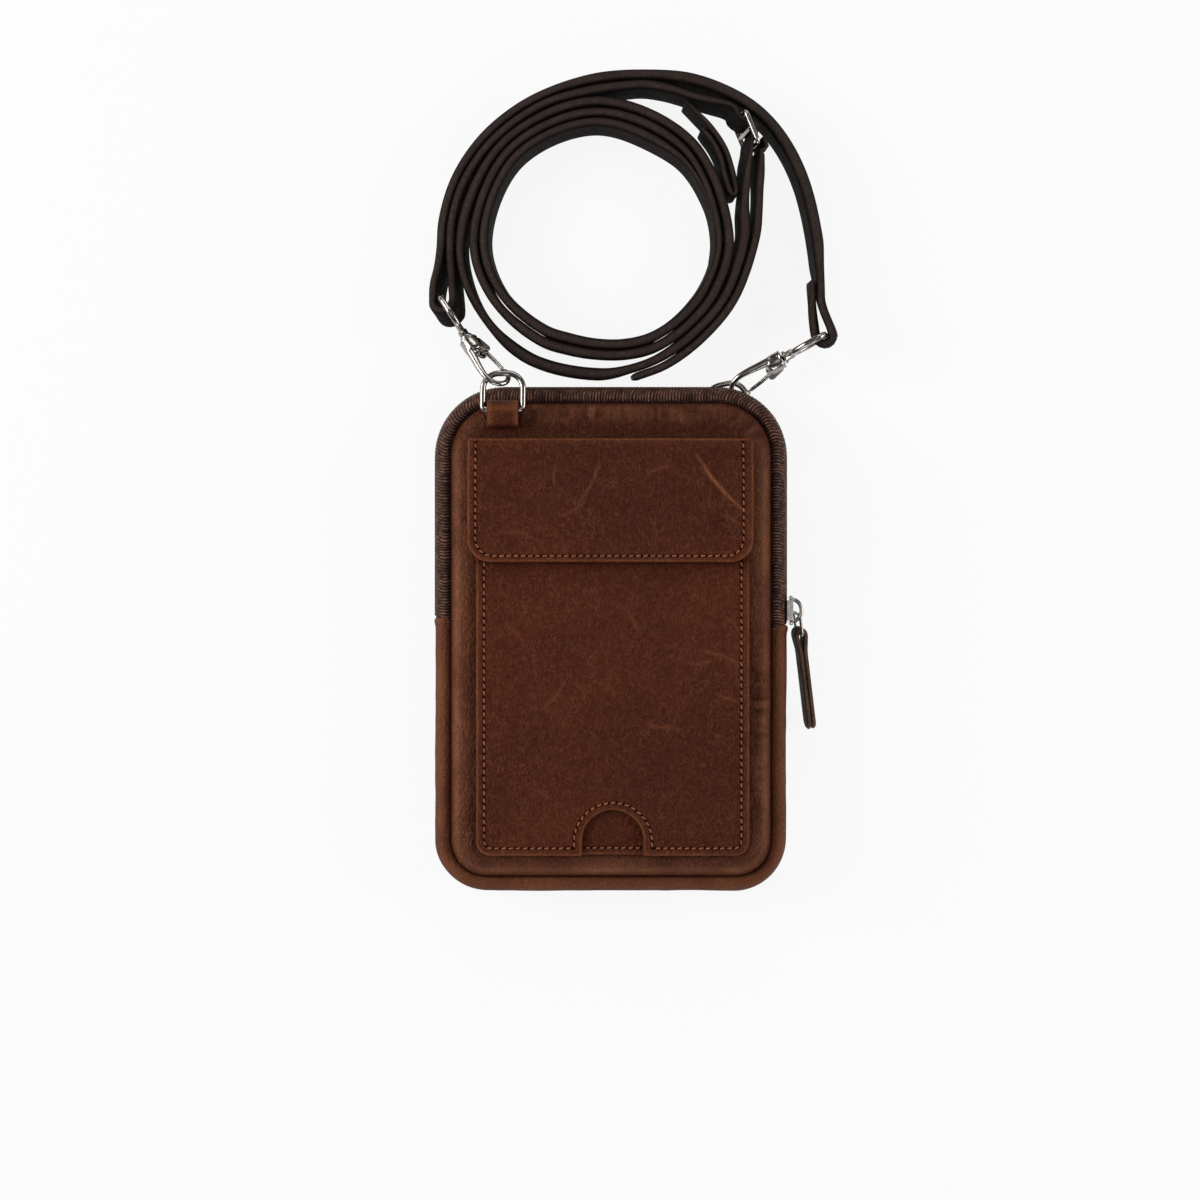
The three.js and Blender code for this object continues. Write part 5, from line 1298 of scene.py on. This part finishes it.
def leaning(p):
    """Up direction of a strip whose top stands out from the coil."""
    q = np.column_stack([p[:, :2] - arr(*COIL_CENTRE), np.zeros(len(p))])
    return unit(q) * np.sin(rad(STRAP["lean"])) + arr(0, 0, np.cos(rad(STRAP["lean"])))


def at_slide(p):
    return 1 - step(8, 24, far_from(p, SLIDE_MID))


strap_length = lengths(line)[-1]
line = resample(line, 1.25)
s = lengths(line)
reach = far_from(line, COIL_CENTRE)
through = np.abs(s - s[np.argmin(far_from(line, SLIDE_MID))])
line[:, 2] = mix(line[:, 2], SLIDE["z"], 1 - step(9, 36, through))
ups = mix(leaning(line), slide_up, (at_slide(line) * (through < 40))[:, None])
for side in ("left", "right"):
    eye, up = EYES[side]
    near = (1 - step(5, 26, far_from(line, eye)))[:, None] * (0.75 if side == "left" else 1.0)
    ups = mix(ups, up, near)
pinch = (1 - step(7, 17, far_from(line, SLIDE_MID))) * (reach < 69)
# The strip looks fuller where its turns leave room for it.
def line_of(rows, gap):
    q = smooth(rows, 14)
    q[:, 2] = mix(STRAP_Z, SLIDE["z"], slide_near(q))
    return resample(q, gap)


oline = line_of([slide_at(SLIDE["pitch"] - 1.2, SLIDE["weave"] + 0.35), slide_at(SLIDE["pitch"] + 2.2, SLIDE["weave"] + 0.75)]
                + run(OVERLAY_RUN), 1.0)
tline = resample(smooth(run(TAIL_RUN), 12), 0.7)
apart = np.sqrt(((line[:, None, :2] - line[None, :, :2]) ** 2).sum(-1))
apart[np.abs(s[:, None] - s[None]) < 20] = 99.0
room = np.where(apart.min(1) < 5.4, 5.3, STRAP["fullest"])
room = np.minimum(room, apart.min(1) - 0.06)
for other, half in ((oline, STRAP["wall"] / 2), (tline, TAIL_WALL / 2)):
    gap = np.sqrt(((line[:, None, :2] - other[None, :, :2]) ** 2).sum(-1)).min(1)
    room = np.minimum(room, 2 * (gap - half - 0.12))
near_metal = 1 - np.minimum(step(16, 30, through), np.minimum(step(12, 26, far_from(line, EYES["left"][0])),
                                                             step(12, 26, far_from(line, EYES["right"][0]))))
full = mix(np.clip(room, 2.6, 5.3), STRAP["wall"], near_metal)
full = np.array([full[max(k - 4, 0):k + 5].min() for k in range(len(full))])
full = np.convolve(np.pad(full, 4, mode="edge"), np.ones(9) / 9, "valid")
skive = np.minimum(mix(0.45, 1, step(0, 9, s)), mix(0.12, 1, step(0, 60, s[-1] - s)))
wall = mix(full, STRAP["wall_at_slide"], pinch) * skive
thinned = 1 - mix(0.12, 1, step(0, 60, s[-1] - s))
line[:, :2] += unit(line[:, :2] - arr(*COIL_CENTRE)) * (thinned * full / 2)[:, None]


def strap_object(name, node, line, ups, wall, width=STRAP["width"], edge=0.85):
    lift = lambda g: 0.22 * noise(g, 14.0, 81) + 0.07 * noise(g, 4.0, 82)
    v, polys, across, face = ribbon(line, unit(ups), wall, width, edge, lift)
    # Painted highlight along the crest of each turn's top edge, with random paler patches; painted shade on the strap's
    # side faces.
    crest_highlight = np.exp(-((np.abs(across) - 0.97) / 0.05) ** 2)
    wear_and_highlight = 0.5 * crest_highlight * (1 - np.abs(face)) ** 0.7 + 0.1 * noise(v, 6.0, 83) + 0.04
    dark = 0.62 * step(0.3, 0.95, np.abs(face))
    obj = new_object(name, v, polys, STRAP_LEATHER, dict(wear_and_highlight=np.clip(wear_and_highlight, 0, 1), dark=np.clip(dark, 0, 1)))
    return finish_piece(obj, "bag", "strap_leather", node)


strap_object("strap_leather_strip", "strap", line, ups, wall)

strap_object("strap_overlay_strip", "strap_overlay", oline, mix(leaning(oline), slide_up, at_slide(oline)[:, None]),
             mix(1.6, STRAP["wall"], step(2, 14, lengths(oline))))
ts = lengths(tline)
strap_object("strap_tail_strip", "strap_tail", tline, leaning(tline),
             TAIL_WALL * mix(0.5, 1, np.minimum(step(0, 12, ts), step(0, 4, ts[-1] - ts))))

# Slide: two rails and three bars.
P, HH, R = SLIDE["pitch"], SLIDE["half"], SLIDE["r"]
corner = 1.5
outline = np.vstack([arc_points(P - corner + 0.0, HH - corner, corner, 0, 90, 8), arc_points(-(P - corner), HH - corner, corner, 90, 180, 8),
                     arc_points(-(P - corner), -(HH - corner), corner, 180, 270, 8), arc_points(P - corner, -(HH - corner), corner, 270, 360, 8)])
outline = densify(outline, 0.5)
parts = [wire(np.column_stack([outline[:, 0], np.zeros(len(outline)), outline[:, 1]]), R, (0, 1, 0), 18, joined=True),
         wire(np.column_stack([np.zeros(9), np.zeros(9), np.linspace(-HH, HH, 9)]), R, (0, 1, 0), 18)]
v, polys = merge(parts)
obj = placed("strap_slide_frame", v, polys, (SLIDE_MID, slide_dir, slide_face, slide_up), NICKEL)
finish_piece(obj, "bag", "metal", "strap_slide")

# ------------------------------------------------------------------ zip slider and its pull
S = SLIDER
x0 = BAG["a"] + S["base"]
hl, hh = S["half_length"], S["half_height"]


def plate_part(outline, z0, z1):
    c = outline.mean(0)
    grid = np.stack([np.column_stack([mix(c, outline, f), np.full(len(outline), z)])
                     for z, f in ((z0, 0.93), (z0 + 0.15, 1.0), (z1 - 0.3, 1.0), (z1, 0.88))])
    return flipped_out(tube(grid))


shape = densify(np.vstack([[[-hl + 1.8, -hh]], [[hl - 1.8, -hh + 0.6]], arc_points(hl - 1.8, -hh + 2.4, 1.8, -90, 0, 6),
                           arc_points(hl - 1.8, hh - 2.4, 1.8, 0, 90, 6), [[-hl + 1.8, hh]], arc_points(-hl + 1.8, hh - 1.8, 1.8, 90, 180, 6),
                           arc_points(-hl + 1.8, -hh + 1.8, 1.8, 180, 270, 6)]), 0.6)
t = np.linspace(0, np.pi, 25)
bridge = np.column_stack([3.9 * np.cos(t), np.zeros(25), S["wall"] - 0.3 + S["bridge"] * np.sin(t)])
parts = [plate_part(shape, 0, S["wall"]), wire(bridge, S["wire"], (0, 1, 0), 16)]
for s_ in (1, -1):
    z0, z1 = sorted((s_ * (hh - 0.9), s_ * hh))
    parts.append(box_part((-hl + 1.7, z0, S["wall"] - 2.4), (hl - 1.7, z1, S["wall"] - 0.2)))
obj = cast("zip_slider_casting", parts, (arr(x0, S["y"], MID), arr(0, 1, 0), arr(0, 0, 1), arr(1, 0, 0)), NICKEL, 0.13, 6)
finish_piece(obj, "bag", "metal", "zip_slider")

start = arr(*PULL_LINE["start"])
pd = unit(arr(*PULL_LINE["end"]) - start)
wide = arr(np.sin(rad(PULL_LINE["lean"])), 0, np.cos(rad(PULL_LINE["lean"])))
wide = unit(wide - pd * (wide @ pd))
face_n = unit(np.cross(wide, pd))
q = PULL_RING
loop = np.vstack([arc_points(q["half"] - q["corner"], q["length"] / 2 - q["corner"], q["corner"], 0, 90, 6),
                  arc_points(-(q["half"] - q["corner"]), q["length"] / 2 - q["corner"], q["corner"], 90, 180, 6),
                  arc_points(-(q["half"] - q["corner"]), -(q["length"] / 2 - q["corner"]), q["corner"], 180, 270, 6),
                  arc_points(q["half"] - q["corner"], -(q["length"] / 2 - q["corner"]), q["corner"], 270, 360, 6)])
loop = densify(loop, 0.35)
ring = start + loop[:, :1] * wide + (q["length"] / 2 - loop[:, 1:]) * pd
v, polys = wire(ring, q["r"], face_n, 18, joined=True)
finish_piece(new_object("zip_pull_ring_wire", v, polys, NICKEL), "bag", "metal", "zip_pull_ring")

bend = q["r"] + PULL["clear"] + PULL["wall"] / 2
ply = PULL["wall"] / 2 + 0.04
hinge = start + pd * q["length"]
half = [(PULL["length"], ply), (PULL["length"] - 1.2, ply), (PULL["length"] - 3.6, ply), (12, ply), (6, ply + 0.06),
        (2.4, mix(ply, bend, 0.75))]
pts = ([hinge + pd * s_ - face_n * f for s_, f in half]
       + [hinge - pd * bend * np.cos(rad(t)) + face_n * bend * np.sin(rad(t)) for t in (-90, -45, 0, 45, 90)]
       + [hinge + pd * s_ + face_n * f for s_, f in reversed(half)])
line = resample(smooth(pts, 12), 0.45)
from_end = np.maximum(PULL["length"] - (line - hinge) @ pd, 0)
r = PULL["width"] / 2
width = np.where(from_end < r, 2 * np.sqrt(np.maximum(r * r - (r - from_end) ** 2, 1.2)), PULL["width"])
v, polys, across, face = ribbon(line, np.tile(wide, (len(line), 1)), PULL["wall"], width, 0.75)
# Painted highlight along the crests of the tab's edges, with random paler patches; painted shade on its side faces.
wear_and_highlight = 0.5 * step(0.8, 1.0, np.abs(across)) * (1 - np.abs(face)) + 0.15 * noise(v, 4.0, 91)
obj = new_object("zip_pull_tab_leather", v, polys, PULL_LEATHER,
                 dict(wear_and_highlight=np.clip(wear_and_highlight, 0, 1), dark=np.clip(0.4 * step(0.85, 1.0, np.abs(face)), 0, 1)))
finish_piece(obj, "bag", "strap_leather", "zip_pull_tab")
